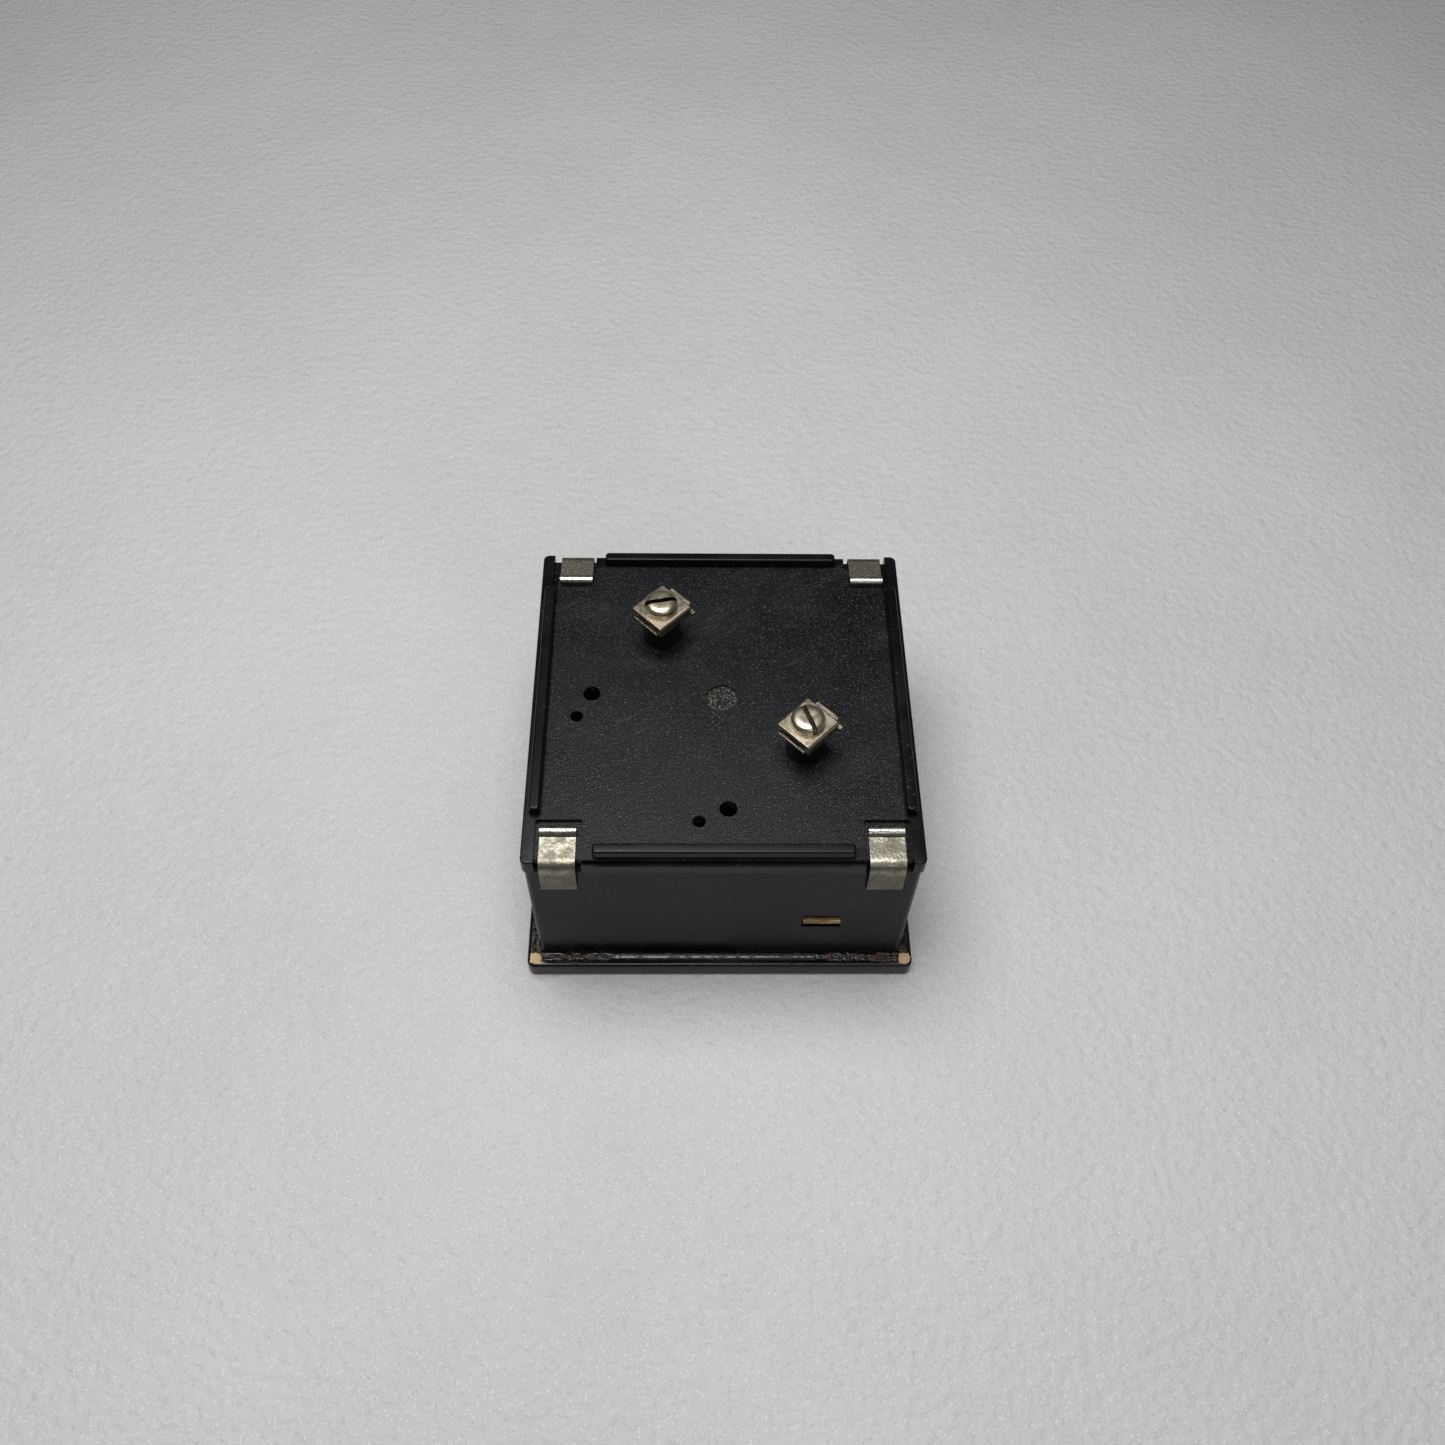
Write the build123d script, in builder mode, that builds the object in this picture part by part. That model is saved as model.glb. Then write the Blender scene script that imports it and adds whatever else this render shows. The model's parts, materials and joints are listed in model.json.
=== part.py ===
"""Square analog panel meter with a 96 mm front, a quadrant moving-coil movement and clamp terminals.

The meter lies face down: its front face is at z = 0 and its rear cover faces +Z. X runs across it.
Seen from the front, the top of the dial is towards -Y. All sizes are in millimetres.
"""

import os
from math import cos, radians, sin

from build123d import *

# ---- front frame and window -------------------------------------------------------------------
ledge_width = 3.0  # ledge of the bezel round the case
bezel_thick = 5.0
bezel_corner = 2.0
bezel_edge = 0.8
rim_thick = 1.0  # front rim that holds the window from the front
rim_width = 7.0
window_corner = 2.0
inner_corner = 1.0  # corners of the seal, the case's inside, the spigot and the dial
glass_thick = 1.8
glass_gap = 0.3  # around the glass
seal_thick = 0.5
seal_width = 2.2

# ---- case -------------------------------------------------------------------------------------
case_side = 90.0  # at the rear rim
case_draft = 0.6  # how much smaller it is at its foot
case_wall = 2.4
case_corner = 1.5
case_rim_chamfer = 0.3  # along the outer edge of the rear rim, under the cover's lip
case_rear = 48.0  # height of the rear rim above the front face
foot_gap = 0.1  # case foot in the bezel

# ---- rear cover -------------------------------------------------------------------------------
lip_overhang = 0.45  # lip beyond the case
cover_depth = 4.3
cover_plate = 2.6
cover_edge = 0.4
spigot_depth = 2.5
spigot_wall = 1.8
spigot_gap = 0.2
rebate_width = 0.9  # step along the near and far edges
rebate_depth = 1.5
rib_width = 2.6
rib_height = 2.6
rib_inset = 2.55  # rib centre line from the cover's edge
rib_side_gap = 12.5  # end of a side rib from the cover's edge
rib_end_gap = 16.05  # end of a near or far rib from the cover's edge
rib_round = 0.9
rib_edge = 0.5
gate_radius = 3.8
gate_depth = 0.4
boss_radius = 3.5
boss_inset = 10.3  # boss from the inner wall
boss_to_pivot = 21.0  # the two bosses beside the movement, from the pivot
boss_corner_step = 2.5  # third boss, further from its corner
pilot_depth = 8.0
mark_long = 3.0  # raised polarity marks
mark_wide = 0.5
mark_high = 0.15
mark_offset = (9.5, 10.2)  # from its terminal

# ---- cover clips ------------------------------------------------------------------------------
clip_thick = 0.6
clip_width = 8.2
clip_hook = 1.4  # inner end under the cover
clip_hook_width = 5.0  # inner end, narrowed to pass under the cover
clip_notch_width = 10.7
clip_notch_inset = 8.25  # notch centre from the cover's edge
clip_notch_length = 11.35
clip_notch_round = 0.6
clip_notch_depth = 1.0
clip_hump_inset = 8.3  # middle of the half-round hump from the cover's edge
clip_hump_radius = 0.95
clip_crease_radius = 0.5
clip_bend_radius = 2.2
clip_stand_off = 0.7  # leg's inner face from the case
clip_reach = 6.2  # leg below the case's rear rim
clip_toe = 0.9  # toe into the case wall
clip_gap = 0.2
lip_cut = 1.7  # the lip is cut this deep for the clip's leg
clip_shift = {"near_left": -0.1, "near_right": -0.4, "far_left": 0.5, "far_right": 0.1}

# ---- panel clamp anchors ----------------------------------------------------------------------
anchor_centre = 23.9
anchor_width = 8.9
anchor_low = 23.2
anchor_high = 24.7
anchor_hook = 0.6  # how far the hook stands out of the wall
anchor_round = 0.2
anchor_plate = 1.0
anchor_plate_margin = 3.5  # plate beyond the hook on every side
anchor_wall_gap = 0.05
anchor_slot_below = 3.0

# ---- terminals --------------------------------------------------------------------------------
terminal_near_centre = 14.7
terminal_far_out = 19.3
terminal_turn = 45.0
spare_inset = 14.2  # from the cover's edge
spare_side = 1.15
anti_turn_inset = 10.85
anti_turn_side = -5.55
anti_turn_radius = 1.55
stud_radius = 2.0
stud_gap = 0.075
post_radius = 3.2
post_height = 7.4
post_tap_depth = 6.0
collar_radius = 4.5
collar_gap = 0.1
collar_short = 0.9  # collar ends below the post's top
base_plate_thick = 0.8
base_plate_length = 10.8
base_lip_gap = 0.15  # turned-up lip from the clamp plate
base_lip = (-4.1, 2.45)  # its ends across the terminal
base_tab = (1.05, -5.5)  # tab at the lip's foot: how far it stands out, and its end across the terminal
clamp_side = 10.2
clamp_thick = 1.0
clamp_bend = 0.7
clamp_flange = 1.7  # turned-down sides below the plate
clamp_opening = 1.5  # between base plate and clamp plate at rest
clamp_gap = 0.2
clamp_hole_gap = 0.25  # round the screw
screw_radius = 2.0
thread_gap = 0.05
head_radius = 4.0
head_side = 1.1
head_height = 2.5
head_gap = 0.02  # screw head over the clamp plate
slot_width = 1.1
slot_depth = 1.3
screw_length = 7.5
slot_turns = {"a": 11.0, "b": -69.5}
washer_radius = 4.5
washer_thick = 0.8
lug_thick = 0.6
lug_width = 5.0
lug_reach = 11.0
lug_eye = 1.0
lug_eye_at = 8.8  # eye for the wire, from the stud
nut_flats = 7.0
nut_thick = 3.2
nut_chamfer = 0.4
stud_tail = 1.6  # stud beyond the nut

# ---- movement ---------------------------------------------------------------------------------
yoke_radius = 14.5
yoke_wall = 3.3
yoke_wall_gap = 2.8  # yoke from the case's inner wall
air_gap = 3.2  # core to yoke
core_height = 12.0
core_round = 0.4
yoke_over = 0.5  # yoke beyond each end of the core
former_gap = 0.6  # former from the core
former_thick = 0.3
former_corner = 0.6
winding_thick = 1.3
coil_width = 4.0
winding_inset = 0.2  # winding from each side of the former
end_gap = 0.8  # former from the core's end faces
support_turn = 40.0
support_inset = 1.0  # supports from each end of the core
mask_gap = 1.2  # window to corner mask
mask_thick = 1.0
mask_skirt = 5.4
mask_wall = 1.0
mask_to_pivot = 15.0  # mask's open corner from the pivot
mask_wall_gap = 0.3
mask_corner = 5.0
mask_post_radius = 1.8
mask_post_inset = 3.8
mask_post_gap = 0.7  # near post from the skirt
bridge_drop = 2.4  # corner mask to front bridge
bridge_thick = 1.2
bridge_width = 6.0
bridge_boss_radius = 2.5
bridge_boss = 1.4
leg_thick = 2.4
leg_spread = 0.6  # foot of a bridge leg wider than its leg
leg_inset = 0.3
rear_bridge_gap = 5.4  # from the coil
jewel_radius = 1.5
jewel_length = 3.8
jewel_bore = 0.45
jewel_cup = 0.8
jewel_slot = (0.6, 0.8)  # width and depth
jewel_slot_turn = 30.0
spindle_radius = 0.6
pivot_radius = 0.4
pivot_length = 1.0
pivot_end_gap = 0.1
foot_radius = 2.2
foot_thick = 0.4
spring_turns = 4.0
spring_inner = 1.25
spring_outer = 5.0
spring_strip = 0.14
spring_height = 0.4
spring_clear = 0.7  # from the bridge's boss
spring_end = 225.0  # direction of the outer end
spring_stud_radius = 0.4
spring_post_at = 5.6  # spring stud from the pivot
spring_arm = (2.0, 0.6)  # arm of the rear stud: width and thickness
spring_arm_gap = 0.05  # round the boss
lever_thick = 0.6
lever_gap = 0.1
washer_margin = 1.0
lever_washer_thick = 0.3
lever_hub_radius = 4.4
lever_bore_gap = 0.08
lever_tail = 7.0
lever_tail_width = 2.0
lever_end = 1.5  # lever beyond the pin
fork_length = 4.0
lever_width = 4.4
fork_gap = 0.25
pointer_thick = 0.3
pointer_wall_gap = 8.3  # tip from the far inner wall
pointer_gap = 0.5  # behind the hairspring
pointer_root = 1.3
pointer_tip = 0.35
pointer_tail = 8.0
tail_width = 1.4
weight_radius = 1.1
weight_thick = 1.0
dial_thick = 0.8
dial_gap = 0.3
dial_cut = 14.0  # edge of the dial's corner cut from the pivot
dial_post_radius = 2.5
dial_post_inset = 9.3
dial_head_radius = 2.4
dial_head = 1.0
dial_screw_reach = 6.0
slot_share = 0.25  # slot of a small screw, as a share of its head's radius
small_shank = 1.0
small_shank_gap = 0.05
pointer_to_dial = 1.3
coil_to_dial = 0.9
plate_thick = 2.0
plate_corner = 3.0
plate_screw = (2.0, 1.2, 6.0)  # head radius, head height and reach behind the plate
yoke_screw = (1.6, 1.0, 5.0)
yoke_tap_depth = 6.0
bridge_screw = (1.9, 1.2, 4.0)
bridge_tap_depth = 5.0
plate_gap = 2.0  # movement plate from the case's inner wall
stop_angles = (174.0, 278.0)
stop_inset = 9.0  # from the pointer's tip
stop_radius = 0.4
stop_height = 2.4

# ---- zero adjuster ----------------------------------------------------------------------------
adjuster_arm = 12.0  # from the pivot
adjuster_head = 4.0
adjuster_head_gap = 0.3
adjuster_flange = 5.2
adjuster_inset = 0.4  # head behind the front face
adjuster_boss = 2.6
adjuster_play = 0.1
adjuster_bore_gap = 0.06
adjuster_shoulder = 0.4  # boss behind the mask
pin_end = 0.3  # pin beyond the lever
pin_offset = 1.2
pin_radius = 0.6
adjuster_slot = 0.9
adjuster_slot_depth = 1.2

# ---- series resistor and lead wires ---------------------------------------------------------------
resistor_centre = (-11.0, -12.0)
resistor_radius = 4.5
resistor_core = 2.6
resistor_height = 9.0
resistor_flange = 1.0
winding_step = 0.5  # winding below the flanges
wire_radius = 0.6
wire_gap = 0.05
wire_round = 0.7
wire_rise = 1.5  # wires over the bobbin
bobbin_hole_at = 3.0
wire_end = (10.0, 6.0)  # end of the bobbin's second wire, from the bobbin
wire_step = 4.0  # jog and rise of the wire from terminal B

# ---- heights and places that follow -------------------------------------------------------------
bezel_side = case_side + 2 * ledge_width
case_foot = case_side - case_draft
case_inner = case_foot - 2 * case_wall
inner_half = case_inner / 2
case_rim_side = case_side - 2 * case_rim_chamfer
recess_side = case_foot + 2 * foot_gap
window_side = bezel_side - 2 * rim_width
glass_side = recess_side - 2 * glass_gap
glass_rear = rim_thick + glass_thick
case_front = glass_rear + seal_thick
cover_side = case_side + 2 * lip_overhang
cover_half = cover_side / 2
cover_top = case_rear + cover_depth
cover_under = cover_top - cover_plate
spigot_outer = case_inner - 2 * spigot_gap
spigot_inner = spigot_outer - 2 * spigot_wall
notch_floor = cover_top - clip_notch_depth
notch_x = cover_half - clip_notch_inset
pivot_at = inner_half - yoke_wall_gap - yoke_radius
pivot = (pivot_at, pivot_at)
yoke_bore = yoke_radius - yoke_wall
core_radius = yoke_bore - air_gap
diagonal = cos(radians(45))
adjuster_at = pivot_at + adjuster_arm * diagonal
adjuster_centre = (adjuster_at, adjuster_at)
mask_front = glass_rear + mask_gap
mask_rear = mask_front + mask_thick
bridge_front = mask_rear + bridge_drop
bridge_rear = bridge_front + bridge_thick
lever_front = bridge_rear + lever_gap
lever_rear = lever_front + lever_thick
boss_rear = bridge_rear + bridge_boss
spring_front = boss_rear + spring_clear
spring_rear = spring_front + spring_height
pointer_front = spring_rear + pointer_gap
pointer_rear = pointer_front + pointer_thick
dial_front = pointer_rear + pointer_to_dial
dial_rear = dial_front + dial_thick
coil_front = dial_rear + coil_to_dial
former_out = end_gap + former_thick
core_front = coil_front + winding_thick + former_out
core_rear = core_front + core_height
coil_rear = core_rear + former_out + winding_thick
yoke_front = core_front - yoke_over
plate_front = core_rear + yoke_over
plate_rear = plate_front + plate_thick
plate_side = case_inner - 2 * plate_gap
bridge_leg_at = yoke_radius - leg_thick / 2 - leg_inset
rear_bridge_front = coil_rear + rear_bridge_gap
rear_bridge_rear = rear_bridge_front + bridge_thick
boss_at = inner_half - boss_inset
boss_far_at = boss_at - boss_corner_step
boss_along = pivot_at - boss_to_pivot
dial_post_at = inner_half - dial_post_inset
mask_low = pivot_at - mask_to_pivot
mask_side = inner_half - mask_wall_gap - mask_low
mask_post_far = inner_half - mask_post_inset
mask_post_near = mask_low + mask_wall + mask_post_radius + mask_post_gap
pointer_length = pivot_at + inner_half - pointer_wall_gap
stop_at = pointer_length - stop_inset
spare_out = cover_half - spare_inset
anti_turn_out = cover_half - anti_turn_inset
terminal_centres = {
    "a": (-terminal_near_centre, terminal_far_out),
    "b": (terminal_far_out, -terminal_near_centre),
}
spare_centres = ((-spare_out, spare_side), (spare_side, -spare_out))
anti_turn_centres = ((-anti_turn_out, anti_turn_side), (anti_turn_side, -anti_turn_out))
boss_centres = ((-boss_far_at, -boss_far_at), (boss_along, boss_at), (boss_at, boss_along))
dial_posts = ((-dial_post_at, -dial_post_at), (-dial_post_at, dial_post_at), (dial_post_at, -dial_post_at))

os.makedirs("parts", exist_ok=True)


def level(height, centre=(0, 0), turn=0):
    """Horizontal plane at a height, with its origin over a centre and its x axis turned in degrees."""
    along = (cos(radians(turn)), sin(radians(turn)), 0)
    return Plane(origin=(*centre, height), x_dir=along, z_dir=(0, 0, 1))


def around(centre, radius, angle):
    """Point at a radius and an angle in degrees from a centre."""
    return (centre[0] + radius * cos(radians(angle)), centre[1] + radius * sin(radians(angle)))


def save(piece, name):
    """Label a finished piece and write it to its own STEP file."""
    piece.part.label = name
    export_step(piece.part, f"parts/{name}.step")


def screws(name, centres, shank, head, head_high, face, reach, up):
    """Group of like cheese-head screws: heads stand on a face, shanks reach the other way."""
    side = 1 if up else -1
    with BuildPart() as group:
        with BuildSketch(Plane.XY.offset(face)):
            with Locations(*centres):
                Circle(head)
        extrude(amount=side * head_high)
        with BuildSketch(Plane.XY.offset(face + side * head_high)):
            with Locations(*centres):
                Rectangle(2 * head, slot_share * head)
        extrude(amount=-side * head_high / 2, mode=Mode.SUBTRACT)
        with BuildSketch(Plane.XY.offset(face)):
            with Locations(*centres):
                Circle(shank)
        extrude(amount=-side * reach)
    save(group, name)


def spiral(name, front, end_angle):
    """Flat hairspring: an Archimedean spiral from the collet out to the spring stud."""
    steps = int(12 * spring_turns)
    turn = 360 * spring_turns

    def edge(shift):
        points = []
        for i in range(steps + 1):
            share = i / steps
            radius = spring_inner + (spring_outer - spring_inner) * share + shift
            points.append(around((0, 0), radius, end_angle - turn * (1 - share)))
        return points

    inner = edge(-spring_strip / 2)
    outer = edge(spring_strip / 2)
    with BuildPart() as spring:
        with BuildSketch(level(front, pivot)):
            with BuildLine():
                Spline(*inner)
                Line(inner[-1], outer[-1])
                Spline(*outer)
                Line(outer[0], inner[0])
            make_face()
        extrude(amount=spring_height)
    save(spring, name)


# ---- bezel: moulded square frame with a recess for the window and the case foot -----------------
with BuildPart() as bezel:
    with BuildSketch():
        RectangleRounded(bezel_side, bezel_side, bezel_corner)
    extrude(amount=bezel_thick)
    rims = bezel.faces().filter_by(Plane.XY)
    fillet(rims.edges(), bezel_edge)
    with BuildSketch(Plane.XY.offset(rim_thick)):
        RectangleRounded(recess_side, recess_side, case_corner + foot_gap)
    extrude(amount=bezel_thick - rim_thick, mode=Mode.SUBTRACT)
    with BuildSketch():
        RectangleRounded(window_side, window_side, window_corner)
    extrude(amount=rim_thick, mode=Mode.SUBTRACT)
    front = bezel.faces().sort_by(Axis.Z)[0]
    chamfer(front.inner_wires()[0].edges(), rim_thick / 2)
save(bezel, "bezel")

# ---- window glass, with the zero adjuster's hole -------------------------------------------------
with BuildPart() as window_glass:
    with BuildSketch(Plane.XY.offset(rim_thick)):
        RectangleRounded(glass_side, glass_side, case_corner)
        with Locations(adjuster_centre):
            Circle(adjuster_head + adjuster_head_gap, mode=Mode.SUBTRACT)
    extrude(amount=glass_thick)
save(window_glass, "window_glass")

# ---- soft seal between the glass and the case foot -------------------------------------------------
with BuildPart() as glass_seal:
    with BuildSketch(Plane.XY.offset(glass_rear)):
        RectangleRounded(glass_side, glass_side, case_corner)
        RectangleRounded(glass_side - 2 * seal_width, glass_side - 2 * seal_width, inner_corner,
                         mode=Mode.SUBTRACT)
    extrude(amount=seal_thick)
save(glass_seal, "glass_seal")

# ---- case: drafted square tube with anchor slots and pockets for the clips' toes ---------------------
clip_leg_face = case_side / 2 + clip_stand_off
clip_toe_low = case_rear - clip_reach - clip_thick
clip_toe_tip = case_side / 2 - clip_toe
clip_centres = {
    "near_left": (-notch_x + clip_shift["near_left"], -1),
    "near_right": (notch_x + clip_shift["near_right"], -1),
    "far_left": (-notch_x + clip_shift["far_left"], 1),
    "far_right": (notch_x + clip_shift["far_right"], 1),
}
with BuildPart() as case:
    with BuildSketch(Plane.XY.offset(case_front)):
        RectangleRounded(case_foot, case_foot, case_corner)
    with BuildSketch(Plane.XY.offset(case_rear - case_rim_chamfer)):
        RectangleRounded(case_side, case_side, case_corner)
    loft()
    with BuildSketch(Plane.XY.offset(case_rear - case_rim_chamfer)):
        RectangleRounded(case_side, case_side, case_corner)
    with BuildSketch(Plane.XY.offset(case_rear)):
        RectangleRounded(case_rim_side, case_rim_side, case_corner - case_rim_chamfer)
    loft()
    with BuildSketch(Plane.XY.offset(case_front)):
        RectangleRounded(case_inner, case_inner, inner_corner)
    extrude(amount=case_rear - case_front, mode=Mode.SUBTRACT)
    for side in (-1, 1):
        with BuildSketch(Plane.XY.offset(anchor_low - anchor_slot_below)):
            with Locations((-side * anchor_centre, side * case_side / 2)):
                Rectangle(anchor_width + 2 * clip_gap, 4 * case_wall)
        extrude(amount=anchor_high - anchor_low + anchor_slot_below + clip_gap, mode=Mode.SUBTRACT)
    for x, side in clip_centres.values():
        with BuildSketch(Plane.XY.offset(clip_toe_low - clip_gap)):
            with Locations((x, side * (clip_toe_tip + case_wall / 2))):
                Rectangle(clip_width + 2 * clip_gap, case_wall + 2 * clip_gap)
        extrude(amount=clip_thick + 2 * clip_gap, mode=Mode.SUBTRACT)
save(case, "case")

# ---- rear cover: lipped plate with ribs, clip notches, bosses and terminal holes --------------------
with BuildPart() as rear_cover:
    with BuildSketch(Plane.XY.offset(case_rear)):
        RectangleRounded(cover_side, cover_side, case_corner)
    extrude(amount=cover_depth)
    fillet(rear_cover.faces().sort_by(Axis.Z)[-1].edges(), cover_edge)
    with BuildSketch(Plane.XY.offset(case_rear)):
        RectangleRounded(spigot_inner, spigot_inner, inner_corner)
    extrude(amount=cover_depth - cover_plate, mode=Mode.SUBTRACT)
    with BuildSketch(Plane.XY.offset(case_rear)):
        RectangleRounded(spigot_outer, spigot_outer, inner_corner)
        RectangleRounded(spigot_inner, spigot_inner, inner_corner, mode=Mode.SUBTRACT)
    extrude(amount=-spigot_depth)
    with BuildSketch(Plane.XY.offset(cover_under)):
        with Locations(*boss_centres):
            Circle(boss_radius)
    extrude(amount=plate_rear - cover_under)
    with BuildSketch(Plane.XY.offset(plate_rear)):
        with Locations(*boss_centres):
            Circle(small_shank + small_shank_gap)
    extrude(amount=pilot_depth, mode=Mode.SUBTRACT)
    notch_inner = notch_x - clip_notch_width / 2
    for side in (-1, 1):
        with BuildSketch(Plane.XY.offset(cover_top)):
            with Locations((0, side * cover_half)):
                Rectangle(2 * notch_inner, 2 * rebate_width)
        extrude(amount=-rebate_depth, mode=Mode.SUBTRACT)
        with BuildSketch(Plane.XY.offset(notch_floor)):
            with Locations((-notch_x, side * cover_half), (notch_x, side * cover_half)):
                RectangleRounded(clip_notch_width, 2 * clip_notch_length, clip_notch_round)
        extrude(amount=clip_notch_depth, mode=Mode.SUBTRACT)
        with BuildSketch(Plane.XY.offset(case_rear)):
            with Locations((-notch_x, side * cover_half), (notch_x, side * cover_half)):
                Rectangle(clip_notch_width, 2 * lip_cut)
        extrude(amount=cover_depth, mode=Mode.SUBTRACT)
    rise_at = cover_half - clip_hump_inset - clip_hump_radius
    for x, side in clip_centres.values():
        with BuildSketch(Plane.XY.offset(cover_under)):
            with Locations((x, side * rise_at)):
                Rectangle(clip_hook_width + 2 * clip_gap, clip_thick + 2 * clip_gap)
        extrude(amount=cover_plate, mode=Mode.SUBTRACT)
    with BuildSketch(Plane.XY.offset(cover_under)):
        with Locations(*terminal_centres.values(), *spare_centres):
            Circle(stud_radius + stud_gap)
        with Locations(*anti_turn_centres):
            Circle(anti_turn_radius)
    extrude(amount=cover_plate, mode=Mode.SUBTRACT)
    with BuildSketch(Plane.XY.offset(cover_top)):
        Circle(gate_radius)
    extrude(amount=-gate_depth, mode=Mode.SUBTRACT)
    rib_at = cover_half - rib_inset
    with BuildSketch(Plane.XY.offset(cover_top)):
        with Locations((-rib_at, 0), (rib_at, 0)):
            RectangleRounded(rib_width, cover_side - 2 * rib_side_gap, rib_round)
        with Locations((0, -rib_at), (0, rib_at)):
            RectangleRounded(cover_side - 2 * rib_end_gap, rib_width, rib_round)
    extrude(amount=rib_height)
    fillet(rear_cover.faces().sort_by(Axis.Z)[-4:].edges(), rib_edge)
    marks = [(c[0] + mark_offset[0], c[1] + mark_offset[1]) for c in terminal_centres.values()]
    with BuildSketch(Plane.XY.offset(cover_top)):
        with Locations(*marks):
            Rectangle(mark_long, mark_wide)
        with Locations(marks[0]):
            Rectangle(mark_wide, mark_long)
    extrude(amount=mark_high)
save(rear_cover, "rear_cover")

# ---- cover clips: bent spring strips, hooked under the cover and into the case ------------------------
for name, (x, side) in clip_centres.items():
    half = clip_thick / 2
    hump_low = notch_floor + half + clip_crease_radius
    toe_z = cover_under - clip_gap - half
    leg_u = clip_leg_face + half
    with BuildPart() as clip:
        with BuildSketch(Plane(origin=(x, 0, 0), x_dir=(0, side, 0), z_dir=(side, 0, 0))):
            with BuildLine():
                hook = Line((rise_at - clip_hook, toe_z), (rise_at - clip_crease_radius, toe_z))
                turn_up = JernArc(hook @ 1, hook % 1, clip_crease_radius, 90)
                rise = Line(turn_up @ 1, (rise_at, hump_low))
                hump = JernArc(rise @ 1, rise % 1, clip_hump_radius, -180)
                crease = JernArc(hump @ 1, hump % 1, clip_crease_radius, 90)
                web = Line(crease @ 1, (leg_u - clip_bend_radius, notch_floor + half))
                bend = JernArc(web @ 1, web % 1, clip_bend_radius, -90)
                leg = Line(bend @ 1, (leg_u, clip_toe_low + half + clip_crease_radius))
                turn_in = JernArc(leg @ 1, leg % 1, clip_crease_radius, -90)
                Line(turn_in @ 1, (clip_toe_tip + half, clip_toe_low + half))
                offset(amount=half, side=Side.BOTH)
            make_face()
        extrude(amount=clip_width / 2, both=True)
        with BuildSketch(level(notch_floor)):
            with Locations((x, side * rise_at)):
                Rectangle(2 * clip_width, 2 * clip_hook + 2 * clip_thick)
                Rectangle(clip_hook_width, 2 * clip_hook + 2 * clip_thick, mode=Mode.SUBTRACT)
        extrude(amount=-2 * cover_plate, mode=Mode.SUBTRACT)
    save(clip, f"cover_clip_{name}")

# ---- panel clamp anchors: brass plates inside the wall, with a hook through it --------------------------
for name, side in (("near", -1), ("far", 1)):
    wall_in = inner_half - anchor_wall_gap
    wall_out = case_side / 2 + anchor_hook
    with BuildPart() as anchor:
        with BuildSketch(Plane.XY.offset(anchor_low)):
            with Locations((-side * anchor_centre, side * (wall_in + wall_out) / 2)):
                Rectangle(anchor_width, wall_out - wall_in)
        extrude(amount=anchor_high - anchor_low)
        outer = anchor.faces().sort_by(Axis.Y)[0 if side < 0 else -1]
        fillet(outer.edges().filter_by(Axis.X), anchor_round)
        with BuildSketch(Plane.XY.offset(anchor_low - anchor_plate_margin)):
            with Locations((-side * anchor_centre, side * (wall_in - anchor_plate / 2))):
                Rectangle(anchor_width + 2 * anchor_plate_margin, anchor_plate)
        extrude(amount=anchor_high - anchor_low + 2 * anchor_plate_margin)
    save(anchor, f"clamp_anchor_{name}")

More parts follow.
